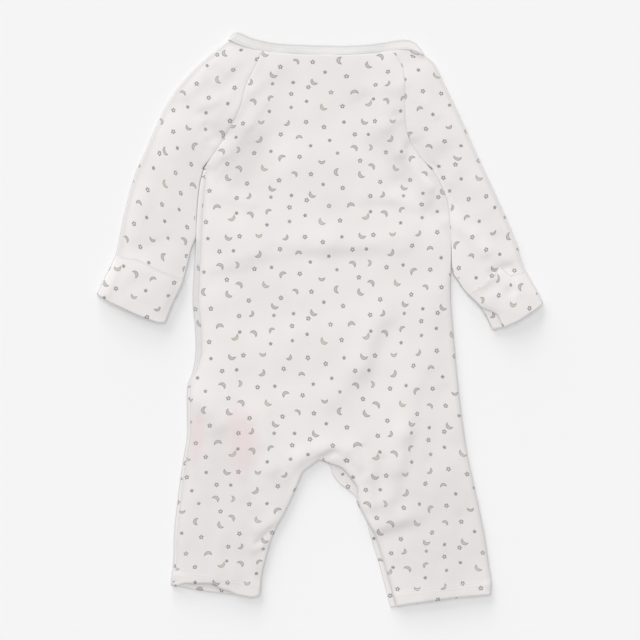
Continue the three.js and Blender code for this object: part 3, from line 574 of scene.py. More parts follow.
def sheltered(x, y):
    """1 near the lines of JOINTS, 0 past 1.3 times their reach: a smooth step of 1.3 - away / reach."""
    away = np.minimum.reduce([away_from(line[::3], x, y) / reach for line, reach in JOINTS])
    return smooth_step(1.3 - away)


def index_grid(shape, first=0):
    """Numbers of a grid's points, row by row, from first."""
    return first + np.arange(shape[0] * shape[1]).reshape(shape[0], shape[1])


def cells_of(index):
    """Four-cornered cells between the rows of an index grid, whose faces point up when its rows run down
    the suit and its columns to the right. Cells with a corner below zero are left out."""
    corners = [index[1:, :-1], index[1:, 1:], index[:-1, 1:], index[:-1, :-1]]
    cells = np.stack(corners, axis=-1).reshape(-1, 4)
    return cells[(cells >= 0).all(axis=1)]


def top_height(x, y, inward):
    """Middle of the upper cloth, inward from the panel's nearest edge: its lowest level, a puff of
    LOFT (1 - e^(-inward / PUFF_REACH)), lower beside the binding by NECK_PRESS, the folds, and the creases
    and swells, which come up over the first 6 inward. It never sinks to the lower cloth: the rise r is
    eased to (r + sqrt(r^2 + 0.05)) / 2."""
    neck = away_from(NECK_SEAM_LINE[::6], x, y)
    press, press_reach = NECK_PRESS
    puff = LOFT * (1 - np.exp(-inward / PUFF_REACH)) * (1 - press * np.exp(-neck / press_reach))
    calm = smooth_step(inward / 6)
    small = fold_relief(CREASES, x, y)
    for height, scale, seed in SWELLS:
        small = small + height * undulation(x, y, scale, seed)
    rise = puff + fold_relief(MAIN_FOLDS, x, y) + small * calm
    return TOP + (rise + np.sqrt(rise**2 + 0.05)) / 2


def dragged(x, y):
    """Places of the back in its print: each place less the drag around it, the mean of the table's rows
    weighed by e^(-(distance / DRAG_REACH)^2)."""
    table = np.array(DRAG, float)
    square = (x[:, None] - table[:, 0]) ** 2 + (y[:, None] - table[:, 1]) ** 2
    near = np.exp(-square / DRAG_REACH**2) + 1e-12
    drag = near @ table[:, 2:] / near.sum(axis=1)[:, None]
    return np.stack([x - drag[:, 0], y + drag[:, 1]], axis=-1)


# ---- Cloth as a mesh
def vertex_normals(points, cells):
    """Normal of each point: the sum of its cells' diagonals' cross products, made one long."""
    a, b, c, d = (points[cells[:, k]] for k in range(4))
    face = np.cross(c - a, d - b)
    normals = np.zeros_like(points)
    for k in range(4):
        np.add.at(normals, cells[:, k], face)
    return normals / np.maximum(np.linalg.norm(normals, axis=1)[:, None], 1e-12)


def open_edges(cells, count):
    """Directed edges that only one cell has."""
    edges = np.concatenate([cells[:, [k, (k + 1) % 4]] for k in range(4)])
    keys, back = edges[:, 0] * count + edges[:, 1], edges[:, 1] * count + edges[:, 0]
    return edges[~np.isin(keys, back)]


def motif_places(corners):
    """For cells with corners in print coordinates (n, 4, 2): each corner as seen from the nearest motif's
    middle, turned and scaled to it, and the motif's (shape, line, tint), which is 0 where none is near."""
    kinds = [KINDS[row[2]] for row in MOTIFS]
    radius = np.array([kind["radius"] for kind in kinds])
    shape = np.array([kind["shape"] for kind in kinds], float)
    line = np.array([kind["line"] / kind["radius"] for kind in kinds])
    tint = np.array([1.0 if row[4] == "tan" else 0.0 for row in MOTIFS])
    middle = np.array([(row[0], -row[1]) for row in MOTIFS], float)
    turn = np.radians([row[3] for row in MOTIFS])
    centres = corners.mean(axis=1)
    offset = centres[:, None, :] - middle[None]
    offset -= np.round(offset / np.array(REPEAT)) * np.array(REPEAT)
    nearest = np.argmin(np.linalg.norm(offset, axis=2) - radius[None], axis=1)
    pick = np.arange(len(centres))
    local = corners - (centres - offset[pick, nearest])[:, None, :]
    cos, sin = np.cos(turn[nearest])[:, None], np.sin(turn[nearest])[:, None]
    u, v = local[..., 0], local[..., 1]
    seen = np.stack([u * cos + v * sin, v * cos - u * sin], axis=-1) / radius[nearest][:, None, None]
    near = np.linalg.norm(offset[pick, nearest], axis=1) < radius[nearest] * 1.3 + 3
    kind = np.stack([shape[nearest] * near, line[nearest], tint[nearest]], axis=-1)
    return seen, kind


def facing(ways, gain):
    """1 for ways that face LEAN, 0 for those that face from it, gain times as sharply as their cosine."""
    return 0.5 + 0.5 * np.clip(ways[:, :2] @ LEAN * gain, -1, 1)


def shell(name, points, cells, thickness, pattern, printed=(True, False), rim=0.75, edge=0.0):
    """A piece of cloth: outer and inner sheets half a thickness to each side of the middle surface, joined
    along each open edge by two strips whose middle stands out by rim times half the thickness. pattern
    holds each point's place in the cloth, which the print and the knit follow. printed says whether the
    outer and the inner sheet show the print, for all points or point by point. edge is how much painted
    shade each point gets from being near a fold. More painted shade goes where the cloth is steep or at its
    rim and faces the neck light, to hold down the light that it catches there, and hardly any where it is
    sheltered."""
    edge = np.broadcast_to(np.asarray(edge, float), (len(points),))
    used, cells = np.unique(cells, return_inverse=True)
    cells = cells.reshape(-1, 4)
    points, pattern, edge = points[used], pattern[used], edge[used]
    half = np.broadcast_to(np.asarray(thickness, float), (int(used.max()) + 1,))[used] / 2
    count = len(points)
    normals = vertex_normals(points, cells)
    edges = open_edges(cells, count)
    ends = np.unique(edges)
    way = points[edges[:, 1]] - points[edges[:, 0]]
    out = np.zeros_like(points)
    for k in (0, 1):
        np.add.at(out, edges[:, k], np.cross(way, normals[edges[:, k]]))
    out /= np.maximum(np.linalg.norm(out, axis=1)[:, None], 1e-12)
    brim = np.full(count, -1)
    brim[ends] = 2 * count + np.arange(len(ends))
    everything = np.concatenate([
        points + normals * half[:, None],
        points - normals * half[:, None],
        points[ends] + out[ends] * (half[ends] * rim)[:, None],
    ])
    a, b = edges[:, 0], edges[:, 1]
    faces = np.concatenate([
        cells,
        np.stack([b, a, brim[a], brim[b]], axis=-1),
        cells[:, ::-1] + count,
        np.stack([brim[b], brim[a], a + count, b + count], axis=-1),
    ])
    flat = np.concatenate([pattern, pattern, pattern[ends]])
    mesh = bpy.data.meshes.new(name)
    mesh.vertices.add(len(everything))
    mesh.vertices.foreach_set("co", (everything * MM).astype(np.float32).ravel())
    mesh.loops.add(faces.size)
    mesh.loops.foreach_set("vertex_index", faces.astype(np.int32).ravel())
    mesh.polygons.add(len(faces))
    mesh.polygons.foreach_set("loop_start", np.arange(0, faces.size, 4, dtype=np.int32))
    # The rims are flat, so that they do not bend the light on the sheets beside them
    smooth = np.tile(np.repeat([True, False], [len(cells), len(edges)]), 2)
    mesh.polygons.foreach_set("use_smooth", smooth)
    mesh.update(calc_edges=True)
    laid = (flat[faces] * MM).astype(np.float32)
    mesh.uv_layers.new(name="cloth").uv.foreach_set("vector", laid.ravel())
    seen, kind = motif_places(flat[faces] - np.array(PRINT_START))
    outer_faces = len(cells) + len(edges)
    shows = [np.broadcast_to(np.asarray(side, float), (int(used.max()) + 1,))[used] for side in printed]
    show = np.concatenate([*shows, shows[0][ends]])[faces].mean(axis=1) > 0.5
    show[:outer_faces] |= np.asarray(printed[0]).all()
    kind[:, 0] *= show
    mesh.uv_layers.new(name="motif").uv.foreach_set("vector", seen.astype(np.float32).ravel())
    marks = mesh.attributes.new("motif_kind", "FLOAT_VECTOR", "FACE")
    marks.data.foreach_set("vector", kind.astype(np.float32).ravel())
    # Painted shade: steep cloth and rims that face the neck light are greyed to hold down the light they
    # catch, less where sheltered, though rims there keep some
    wash_and_shade, rim_shade = facing(normals, 1.6), facing(out[ends], 1.2)
    slope = smooth_step((np.hypot(normals[:, 0], normals[:, 1]) - STEEP[0]) / STEEP[1])
    steep = np.maximum(wash_and_shade * slope, edge)
    steep = np.concatenate([steep, steep, rim_shade])
    steep[: 2 * count] *= 1 - SHELTER_SHADE[0] * sheltered(*everything[: 2 * count, :2].T)
    sheltered_rim_shade = SHELTER_SHADE[1] * rim_shade * sheltered(*points[ends, :2].T)
    steep[ends] = np.maximum(steep[ends], sheltered_rim_shade)
    mesh.attributes.new("edge", "FLOAT", "POINT").data.foreach_set("value", steep.astype(np.float32))
    mesh.uv_layers.active = mesh.uv_layers["cloth"]
    return add_object(name, mesh)


def add_object(name, data):
    """A new object in the scene, at the origin."""
    item = bpy.data.objects.new(name, data)
    bpy.context.scene.collection.objects.link(item)
    return item


def finish_piece(piece, material, node=None):
    """Gives a piece its material and its body, and hides the imported solid of the node that it stands for.
    """
    piece.data.materials.append(material)
    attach(piece, "root")
    if node:
        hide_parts(node)
    return piece


# ---- Pieces of the body
def quarter_turn(points, edge, way, share):
    """Strip of cloth that turns up, way 1, or down, way -1, from the flat edge of a panel to meet the
    other panel half way between the layers. It moves out by CURL_RADIUS (sin t)^CURL_POWER and by
    1 - (cos t)^CURL_POWER of the height between, both times share, t running to a right angle."""
    turn = np.linspace(0, np.pi / 2, CURL_STEPS // 2 + 1)[None, 1:]
    start = points[edge][:, None, :]
    lift = TURN_LIFT * sheltered(points[edge, 0] + CURL_INSET, points[edge, 1])[:, None]
    between = np.maximum(way * (CURL_CENTRE + lift - start[..., 2]) - TURN_GAP, 0)
    move = way * between * (1 - np.cos(turn) ** CURL_POWER) * share[:, None]
    out = np.sin(turn) ** CURL_POWER * share[:, None] * CURL_RADIUS
    down_suit = np.broadcast_to(start[..., 1], out.shape)
    return np.dstack([start[..., 0] + out, down_suit, start[..., 2] + move])


def make_back():
    """The back: the upper body panel between the raglan seams, the rolled left side seam and the right
    side, where its edge turns down in a quarter circle to meet the front's."""
    edges, rows = body_edges(False), BODY_ROWS
    rolled = np.where(rows < RAGLAN, 0, eased(ROLLED_SEAM, edges["left"][:, 1]))
    rolled *= smooth_step(rows - RAGLAN + 1)
    edges["left"] = sideways(edges["left"] + np.stack([rolled, 0 * rolled], axis=-1), SEAM_GAP / 2)
    edges["right"] = sideways(edges["right"], -SEAM_GAP / 2)
    flat_edge = edges["right"].copy()
    down = smooth_step(rows - RAGLAN + 1)
    flat_edge[:, 0] -= down * TURN_START
    turned = {"left": edges["left"], "right": flat_edge}
    torso, legs = body_plan(turned, arch(False), BACK_COLUMNS, False, ("left_back", "right_back"))

    def height(x, y, inward):
        """The upper cloth. A hem's extra thickness lies over it at an edge and under it further in."""
        return top_height(x, y, inward) + (leg_thickness(x, y) - WALL) * (np.exp(-inward / 8) - 0.5)

    points, sheets, inward = body_surface(torso, legs, height)
    # Painted shade beside the panel's folded edges; the turned strip below gets the turn's painted shade
    tone = fold_edge_shade(inward)
    edge = np.concatenate([sheets[0][:, -1], sheets[2][1:, -1]])
    strip = quarter_turn(points, edge, -1, down)
    index = index_grid(strip.shape, len(points))
    index[rows < RAGLAN - 1] = -1
    points = np.vstack([points, strip.reshape(-1, 3)])
    sheets.append(np.hstack([edge[:, None], index]))
    cells = np.concatenate([cells_of(sheet) for sheet in sheets])
    return points, cells, np.append(tone, np.full(index.size, TURN_SHADE["back"]))


def seam_dips(points, lines, depth=0.07, width=1.3, ridge=0.05, beside=3.0, spread=1.6):
    """Lowers the cloth into each seam and raises it over the seam allowance beside it:
    -depth exp(-(d / width)^2) + ridge exp(-((d - beside) / spread)^2), with uneven strength along it."""
    x, y = points[:, 0], points[:, 1]
    pull = (1 + 0.8 * undulation(x, y, 9, 11)) * (points[:, 2] > CURL_CENTRE)
    for line in lines:
        d = away_from(line[::3], x, y)
        raised = ridge * np.exp(-(((d - beside) / spread) ** 2))
        points[:, 2] += pull * (raised - depth * np.exp(-((d / width) ** 2)))
    return points


def make_front():
    """The front: the lower body panel, lying flat, with its left edge rolled round on to the back and its
    right edge turned up a quarter circle to meet the back's."""
    outline = body_edges(True)
    inner = arch(True)
    both = np.vstack([inner["left"][::-1], inner["right"][1:]])
    inset = sideways(both, PLACKET_WIDTH + SEAM_GAP)
    count = len(LEG_ROWS)
    inner = {"left": inset[:count][::-1], "right": inset[count - 1 :]}
    rows = BODY_ROWS
    side = smooth_step(rows - RAGLAN + 1)
    edges = {name: line.copy() for name, line in outline.items()}
    edges["left"][:, 0] += mix(SEAM_GAP / 2, CURL_INSET, side)
    edges["right"][:, 0] -= mix(SEAM_GAP / 2, TURN_START, side)
    torso, legs = body_plan(edges, inner, FRONT_COLUMNS, True, ("left_front", "right_front"))

    def height(x, y, inward):
        """Flat on its outer side. The hem that shows below the left leg's back stands up by 1, in a bell
        24 wide round X -94."""
        below = smooth_step((hem_level(x) + 4 - y) / 5) * np.exp(-(((x + 94) / 24) ** 2))
        return leg_thickness(x, y) / 2 + below

    points, sheets, _ = body_surface(torso, legs, height)
    tone = np.zeros(len(points))
    cells = [cells_of(sheet)[:, ::-1] for sheet in sheets]
    pattern = points[:, :2] * (-1, 1) + FRONT_PRINT

    def add_strip(first, strip, columns_out, flip):
        """Joins a strip to the panel's edge and lays its print on from there."""
        nonlocal points, pattern, tone
        index = index_grid(strip.shape, len(points))
        index[rows < RAGLAN] = -1
        run = run_over(np.concatenate([points[first][:, None, :], strip], axis=1), 1)[:, 1:]
        start = pattern[first][:, None, :]
        laid = np.dstack([start[..., 0] + columns_out * run, np.broadcast_to(start[..., 1], run.shape)])
        points = np.vstack([points, strip.reshape(-1, 3)])
        pattern = np.vstack([pattern, laid.reshape(-1, 2)])
        # The turned strip gets painted shade
        tone = np.append(tone, np.full(index.size, TURN_SHADE["front"]))
        sheet = np.hstack([first[:, None], index])
        cells.append(cells_of(sheet)[:, ::-1] if flip else cells_of(sheet))

    # Left: a half turn out and up, then flat on the back up to the side seam
    first = np.concatenate([sheets[0][:, 0], sheets[1][1:, 0]])
    thick = leg_thickness(points[first, 0], points[first, 1])
    low, high = thick / 2, LIFT + thick / 2
    angle = np.linspace(0, np.pi, 2 * CURL_STEPS + 1)[None, 1:]
    base = outline["left"][:, None, 0] + CURL_INSET
    lean = 1 + CURL_LIFT["side"] * sheltered(outline["left"][:, 0], outline["left"][:, 1])[:, None]
    curl_x = base - CURL_RADIUS * np.sin(np.pi * (angle / np.pi) ** lean)
    curl_z = low[:, None] + (high - low)[:, None] * (1 - np.cos(angle)) / 2
    seam = outline["left"][:, 0] + eased(ROLLED_SEAM, outline["left"][:, 1]) - SEAM_GAP / 2
    flat_x = mix(base, np.maximum(seam, base[:, 0] + AIR)[:, None], np.linspace(0, 1, 4)[None, 1:])
    swell = 0.12 + 0.18 * undulation(flat_x, points[first][:, None, 1], 11, 21)
    flat_z = high[:, None] + swell
    strip_x, strip_z = np.hstack([curl_x, flat_x]), np.hstack([curl_z, flat_z])
    strip_y = np.broadcast_to(points[first][:, None, 1], strip_x.shape)
    add_strip(first, np.dstack([strip_x, strip_y, strip_z]), 1, False)
    first = np.concatenate([sheets[0][:, -1], sheets[2][1:, -1]])
    add_strip(first, quarter_turn(points, first, 1, np.ones(len(first))), -1, True)
    return points, np.concatenate(cells), pattern, tone


def make_placket():
    """The popper strip: lanes square to the front's inner legs, out to its width, ribbed where its rows of
    stitching draw it in. Its middle is at LOW + rib + rib cos(2 pi out / pitch), plain at both edges."""
    both = arch(True)
    line = np.vstack([both["left"][::-1], both["right"][1:]])
    line = along(line, np.linspace(0, 1, PLACKET_STEPS))
    out = np.linspace(0, PLACKET_WIDTH, PLACKET_LANES + 1)
    lanes = np.stack([sideways(line, by) for by in out])
    rib, pitch = 0.14, 1.7
    plain = smooth_step(out / 1.5) * smooth_step((PLACKET_WIDTH - out) / 2)
    z = LOW + rib + rib * np.cos(2 * np.pi * out / pitch) * plain
    points = np.dstack([lanes, np.broadcast_to(z[:, None], lanes.shape[:2])]).reshape(-1, 3)
    laid = np.stack(np.broadcast_arrays(out[:, None], run_of(line)[None, :]), axis=-1).reshape(-1, 2)
    return points, cells_of(index_grid(lanes.shape))[:, ::-1], laid


# ---- Sleeves: the share of the neckline at its corner, the way out from the body, the side that it lies
# against, its own inner edge, how much painted shade it has beside its fold and how far in, where its print
# starts, how far its mitt is drawn in at the cuff, and where the mitt's print starts
SLEEVES = {
    "left": {
        "corner": 0, "away": -1, "flank": SIDE_LEFT, "inner": SLEEVE_LEFT_INNER, "grey": (0.22, 3.2),
        "print": (-112, 222), "tuck": 0, "mitt_print": (-20, 60),
    },
    "right": {
        "corner": 1, "away": 1, "flank": SIDE_RIGHT, "inner": SLEEVE_RIGHT_INNER, "grey": (0.28, 1.7),
        "print": (104, 212), "tuck": 0.215, "mitt_print": (31, 16),
    },
}


def free_edge(name):
    """A sleeve's inner edge from the underarm, against the side and then free of it, to the cuff."""
    side = SLEEVES[name]
    beside = [(x + side["away"] * EDGE_GAP, y) for x, y in side["flank"] if y > side["inner"][0][1] + 6]
    return smooth_line(beside + side["inner"])


def sleeve_plan(name, row, across, front):
    """Places of one layer of a sleeve, for rows from the neck to the cuff and shares across from the
    underarm side to the outer fold, with the way across and the width of each row. Above the underarm its
    inner edge is the raglan seam. The cuff's table bends the rows by (row / SLEEVE)^6."""
    side = SLEEVES[name]
    row, across = np.broadcast_arrays(np.asarray(row, float), np.asarray(across, float))
    free = along(free_edge(name), np.clip((row - RAGLAN) / (SLEEVE - RAGLAN), 0, 1))
    seam = raglan_edge(name, row, front)
    seam[..., 0] += side["away"] * mix(SEAM_GAP / 2, EDGE_GAP, smooth_step(row - RAGLAN + 1))
    start = np.where((row < RAGLAN)[..., None], seam, free)
    fold = along(SLEEVE_FOLDS[name], row / SLEEVE)
    width = np.linalg.norm(fold - start, axis=-1)
    begin = CURL_INSET / width * smooth_step(row - RAGLAN + 1)
    share = mix(begin, 1 - CURL_INSET / width, across)
    place = mix(start, fold, share[..., None])
    neck = neckline(mix(SEAM_SHARES[name], side["corner"], share), front)
    first = raglan_edge(name, np.zeros_like(row), front)
    first[..., 0] += side["away"] * SEAM_GAP / 2
    corner = SLEEVE_FOLDS[name][0]
    straight = mix(first, corner, share[..., None])
    place += (neck - straight) * neck_fade(row)[..., None]
    place[..., 1] += eased(CUFFS[name], share) * (row / SLEEVE) ** 6
    return place, (fold - start) / width[..., None], width


def sleeve_upper(name, row, across):
    """The upper cloth of a sleeve as points."""
    place, _, _ = sleeve_plan(name, row, across, False)
    x, y = place[..., 0], place[..., 1]
    edges = [SLEEVE_FOLDS[name], free_edge(name)]
    inward = np.minimum.reduce([away_from(line[::3], x, y) for line in edges]) - CURL_INSET
    return np.concatenate([place, top_height(x, y, np.maximum(inward, 0))[..., None]], axis=-1)


def half_turn(upper, lower, outward, lean=1.0):
    """Places of a half turn of cloth between two layers, squarer than a circle as a pressed fold is: the
    middle of the edge moves from the upper to the lower layer as (1 - cos pi t) / 2, its cosine raised to
    CURL_POWER, and stands out by the curl's radius times (sin pi t^lean)^CURL_POWER."""
    t = np.linspace(0, 1, CURL_STEPS + 1)[1:-1][None, :, None]
    cosine = np.cos(np.pi * t)
    down = (1 - np.sign(cosine) * np.abs(cosine) ** CURL_POWER) / 2
    between = mix(upper[:, None, :], lower[:, None, :], down)
    out = CURL_RADIUS * np.sin(np.pi * t ** np.reshape(lean, (-1, 1, 1))) ** CURL_POWER
    return between + out * np.concatenate([outward, 0 * outward[:, :1]], axis=1)[:, None, :]


def make_sleeve(name):
    """A sleeve: a ring of cloth for each row, over the top, round the outer fold, back below and, past the
    underarm, round the inner edge. Above the underarm the ring is open at the raglan seams. Its print is
    laid from the middle of its top, as far across as the cloth runs."""
    side = SLEEVES[name]
    rows = np.concatenate([steps(0, SLEEVE, FINE["sleeve"]), [SLEEVE]])
    across = np.linspace(0, 1, SLEEVE_COLUMNS + 1)
    row, share = np.meshgrid(rows, across, indexing="ij")
    upper = sleeve_upper(name, row, share)
    low_place, _, _ = sleeve_plan(name, row, share, True)
    lower = np.concatenate([low_place, np.full(row.shape + (1,), LOW)], axis=-1)
    _, outward, _ = sleeve_plan(name, rows, np.ones_like(rows), False)
    fold = half_turn(upper[:, -1], lower[:, -1], outward)
    lean = 1 + CURL_LIFT["underarm"] * sheltered(upper[:, 0, 0], upper[:, 0, 1])
    underarm = half_turn(upper[:, 0], lower[:, 0], -outward, lean)[:, ::-1]
    ring = np.concatenate([upper, fold, lower[:, ::-1], underarm], axis=1)
    width = np.linalg.norm(upper[:, -1] - upper[:, 0], axis=1)[:, None]
    tone = np.zeros(ring.shape[:2])
    # Painted shade beside the outer fold, the sleeve's grey setting
    tone[:, : SLEEVE_COLUMNS + 1] = fold_edge_shade((1 - share) * width, *side["grey"])
    index = index_grid(ring.shape)
    closed = np.hstack([index, index[:, :1]])
    closed[rows < RAGLAN, -CURL_STEPS :] = -1
    cells = cells_of(closed)
    if name == "left":
        cells = cells[:, ::-1]
    around = run_over(ring, 1)
    middle = SLEEVE_COLUMNS // 2
    across = side["away"] * (around - around[:, middle : middle + 1])
    down = np.broadcast_to(-run_of(ring[:, middle, :2])[:, None], around.shape)
    laid = np.stack([across, down], axis=-1).reshape(-1, 2) + side["print"]
    return ring.reshape(-1, 3), cells, laid, tone.ravel()


def make_mitt(name):
    """A fold-over mitt: the sleeve's own upper surface near the cuff, a layer higher, up from its fold, 0,
    to its free edge, 1. It has its own creases and a puff of MITT_PUFF (1 - (2 up - 1)^2), highest half
    way up. At the cuff its inner edge is drawn in by the sleeve's tuck."""
    side = SLEEVES[name]
    shares = np.linspace(0, 1, SLEEVE_COLUMNS + 1)
    up, share = np.meshgrid(np.linspace(0, 1, MITT_ROWS + 1), shares, indexing="ij")
    tuck_end, tuck_reach, rim = 0.62, 0.34, 0.12
    tuck = side["tuck"] * smooth_step((tuck_end - up) / tuck_reach)
    across = mix(tuck - MITT_OVERHANG, 1, share)
    last, before = (sleeve_upper(name, np.full_like(up, SLEEVE - back), across) for back in (0, 2))
    row_length = np.linalg.norm(last - before, axis=-1) / 2
    row = SLEEVE - eased(MITTS[name], share) / row_length * up
    points = sleeve_upper(name, row, across)
    x, y = points[..., 0], points[..., 1]
    edge = np.minimum(np.minimum(share, 1 - share), rim) / rim
    small = fold_relief(MITT_CREASES[name], x, y) + 0.3 * undulation(x, y, 24, 31)
    puff = MITT_PUFF * (1 - (2 * up - 1) ** 2) * smooth_step(edge)
    points[..., 2] += WALL + AIR + np.maximum(puff + small * smooth_step(edge), 0)
    cells = cells_of(index_grid(up.shape))
    if name == "right":
        cells = cells[:, ::-1]
    depth, width = run_over(points, 0), run_over(points, 1)
    width += width[-1, -1] - width[:, -1:]
    laid = np.stack([width * side["away"], depth], axis=-1).reshape(-1, 2) + side["mitt_print"]
    # Painted shade along the mitt's free edge
    tone = fold_edge_shade((1 - up) * depth[-1], *MITT_EDGE_SHADE)
    return points.reshape(-1, 3), cells, laid, tone.ravel()


# ---- Neck
def binding_place(share, to_seam, front):
    """A place on the neck binding, from its free edge, 0, to its seam, 1."""
    seam, free = along(NECK_SEAM_LINE, share), along(NECK_EDGE_LINE, share)
    place = mix(free, seam, np.asarray(to_seam)[..., None])
    place[..., 1] += to_seam * SEAM_GAP - (neck_drop(share) if front else 0)
    return place


def binding_profile(to_seam):
    """Rise of the folded strip across its width: 0.12 sin(1.15 pi t)^0.7, less a groove of 0.1 in each of
    its two stitched lines, and 0.85 in a smooth step towards its seam."""
    full = 0.12 * np.sin(np.pi * np.clip(to_seam * 1.15, 0, 1)) ** 0.7
    lines = sum(0.1 * np.exp(-(((to_seam - at) / 0.07) ** 2)) for at in BINDING_STITCHES)
    return full - lines + 0.85 * smooth_step((to_seam - 0.1) / 0.9)


def make_binding():
    """The neck binding: a ring of the back's strip, a half turn at each shoulder and the front's strip."""
    low, high = HEM_WALL / 2, LIFT + HEM_WALL / 2
    radius = (high - low) / 2
    inset = radius / run_of(NECK_SEAM_LINE)[-1]
    shares = np.linspace(inset, 1 - inset, NECK_STEPS + 1)
    turn = np.linspace(0, np.pi, CURL_STEPS + 1)[1:-1]
    ends = np.full(turn.shape, 1 - inset), np.full(turn.shape, inset)
    share = np.concatenate([shares, ends[0], shares[::-1], ends[1]])
    front = np.arange(len(share)) >= len(shares)
    middle = (high + low) / 2
    z = np.concatenate([
        np.full(len(shares), high), middle + radius * np.cos(turn),
        np.full(len(shares), low), middle - radius * np.cos(turn),
    ])
    out = np.concatenate([0 * shares, radius * np.sin(turn), 0 * shares, radius * np.sin(turn)])
    rail = binding_place(share, 1.0, False) - binding_place(share, 0.0, False)
    rail /= np.linalg.norm(rail, axis=1)[:, None]
    way = np.where((share < 0.5)[:, None], rail[:, ::-1] * (1, -1), rail[:, ::-1] * (-1, 1))
    lanes = []
    for to_seam in np.linspace(0, 1, BINDING_LANES):
        below, above = (binding_place(share, to_seam, side) for side in (True, False))
        place = np.where(front[:, None], below, above)
        rise = binding_profile(to_seam) * np.clip((z - middle) / radius, 0, 1)
        rise = rise * (1 + 0.2 * undulation(place[:, 0], place[:, 1], 11, 41))
        lanes.append(np.column_stack([place + way * out[:, None], z + rise]))
    points = np.array(lanes)
    index = index_grid(points.shape)
    closed = np.hstack([index, index[:, :1]])
    down = -np.linspace(0, BINDING_WIDTH, BINDING_LANES)[:, None]
    laid = np.stack(np.broadcast_arrays(run_of(points[-1])[None, :], down), axis=-1).reshape(-1, 2)
    return points.reshape(-1, 3), cells_of(closed), laid


# ---- Materials
def wire(tree, node, inputs):
    """Sets or links a node's inputs, by name or number, and gives the node back."""
    for key, value in inputs.items():
        if isinstance(value, bpy.types.NodeSocket):
            tree.links.new(value, node.inputs[key])
        else:
            node.inputs[key].default_value = value
    return node


def calc(tree, operation, *values):
    """One step of arithmetic on sockets or numbers."""
    node = tree.nodes.new("ShaderNodeMath")
    node.operation = operation
    return wire(tree, node, dict(enumerate(values))).outputs[0]


def sums_of(tree):
    """The tree's own ways to add, take away and multiply."""
    return [partial(calc, tree, operation) for operation in ("ADD", "SUBTRACT", "MULTIPLY")]


def parts_of(tree, vector):
    """The three numbers of a vector."""
    return wire(tree, tree.nodes.new("ShaderNodeSeparateXYZ"), {0: vector}).outputs[:3]


def ease(tree, value, low, high, start=0.0, end=1.0):
    """A smooth step of value from start, at low, to end, at high."""
    node = tree.nodes.new("ShaderNodeMapRange")
    node.interpolation_type = "SMOOTHSTEP"
    return wire(tree, node, {0: value, 1: low, 2: high, 3: start, 4: end}).outputs[0]


def blend_colour(tree, share, a, b):
    """From colour a at share 0 to colour b at 1."""
    node = tree.nodes.new("ShaderNodeMix")
    node.data_type = "RGBA"
    return wire(tree, node, {"Factor": share, 6: a, 7: b}).outputs[2]


def grain(tree, place, scale, detail=2.0, rough=0.5):
    """Noise from 0 to 1, with scale waves to a metre."""
    node = tree.nodes.new("ShaderNodeTexNoise")
    wire(tree, node, {"Vector": place, "Scale": scale, "Detail": detail, "Roughness": rough})
    return node.outputs[0]


def new_group(name, inputs, outputs):
    """A node group, what it is given and its output node. Its inputs come with their defaults: one number,
    three for a vector, or None for a vector without one. Its outputs are numbers."""
    group = bpy.data.node_groups.new(name, "ShaderNodeTree")
    for label, value in inputs.items():
        kind = "NodeSocketFloat" if isinstance(value, float) else "NodeSocketVector"
        item = group.interface.new_socket(name=label, in_out="INPUT", socket_type=kind)
        if value is not None:
            item.default_value = value
    for label in outputs:
        group.interface.new_socket(name=label, in_out="OUTPUT", socket_type="NodeSocketFloat")
    return group, group.nodes.new("NodeGroupInput").outputs, group.nodes.new("NodeGroupOutput")


def motif_group():
    """Stars and moons, placed in radii from a motif's middle. A star is what lies inside its ten straight
    flanks, folded into one, flank_x x + flank_y y < flank_x, with its points cut off by a circle. A moon
    is inside one circle and outside a larger one. Kind gives the shape, 1 or 2, and the depth of the
    outline. Line is the outline, and Fill is a moon's middle."""
    group, given, put = new_group(
        "Star and moon", {"Place": None, "Kind": None, "Softness": 0.06}, ("Line", "Fill"))
    plus, less, times = sums_of(group)
    (x, y, _), (shape, line, _) = (parts_of(group, given[name]) for name in ("Place", "Kind"))
    flank_x, flank_y, tip = 0.565, 0.825, 0.9
    moon_middle, moon_radius, bite_middle, bite_radius = 0.2, 1.0, 1.24, 1.17

    def ring(centre, radius):
        """Distance outside a circle."""
        dx = less(x, centre)
        return less(calc(group, "SQRT", plus(times(dx, dx), times(y, y))), radius)

    reach = calc(group, "SQRT", plus(times(x, x), times(y, y)))
    folded = calc(group, "PINGPONG", calc(group, "ARCTAN2", y, x), math.pi / 5)
    flank = plus(times(calc(group, "COSINE", folded), flank_x), times(calc(group, "SINE", folded), flank_y))
    star = calc(group, "MAXIMUM", less(times(reach, flank), flank_x), less(reach, tip))
    bite = times(ring(bite_middle, bite_radius), -1.0)
    moon = calc(group, "MAXIMUM", ring(moon_middle, moon_radius), bite)
    is_moon, is_there = (calc(group, "GREATER_THAN", shape, least) for least in (1.5, 0.5))
    choose = wire(group, group.nodes.new("ShaderNodeMix"), {"Factor": is_moon, 2: star, 3: moon})
    within, soft = times(choose.outputs[0], -1.0), given["Softness"]
    inside = times(ease(group, within, times(soft, -1.0), soft), is_there)
    deep = ease(group, within, less(line, soft), plus(line, soft))
    wire(group, put, {"Line": times(inside, less(1.0, deep)), "Fill": times(times(inside, deep), is_moon)})
    return group


def knit_group():
    """Stockinette: columns of stitches a wale apart, each stitch a small V that repeats every course. With
    leg the folded distance from a column's middle, the height is
    0.7 |sin(2 pi leg)| + 0.3 sin(2 pi (course + 1.2 leg))."""
    group, given, put = new_group(
        "Stockinette", {"Cloth": None, "Wale": 0.0009, "Course": 0.0007}, ("Height",))
    plus, _, times = sums_of(group)
    across, down, _ = parts_of(group, given["Cloth"])
    leg = calc(group, "PINGPONG", calc(group, "DIVIDE", across, given["Wale"]), 0.5)
    course = calc(group, "DIVIDE", down, given["Course"])
    rib = calc(group, "SINE", times(leg, 2 * math.pi))
    loop = calc(group, "SINE", times(plus(course, times(leg, 1.2)), 2 * math.pi))
    wire(group, put, {"Height": plus(times(calc(group, "ABSOLUTE", rib), 0.7), times(loop, 0.3))})
    return group


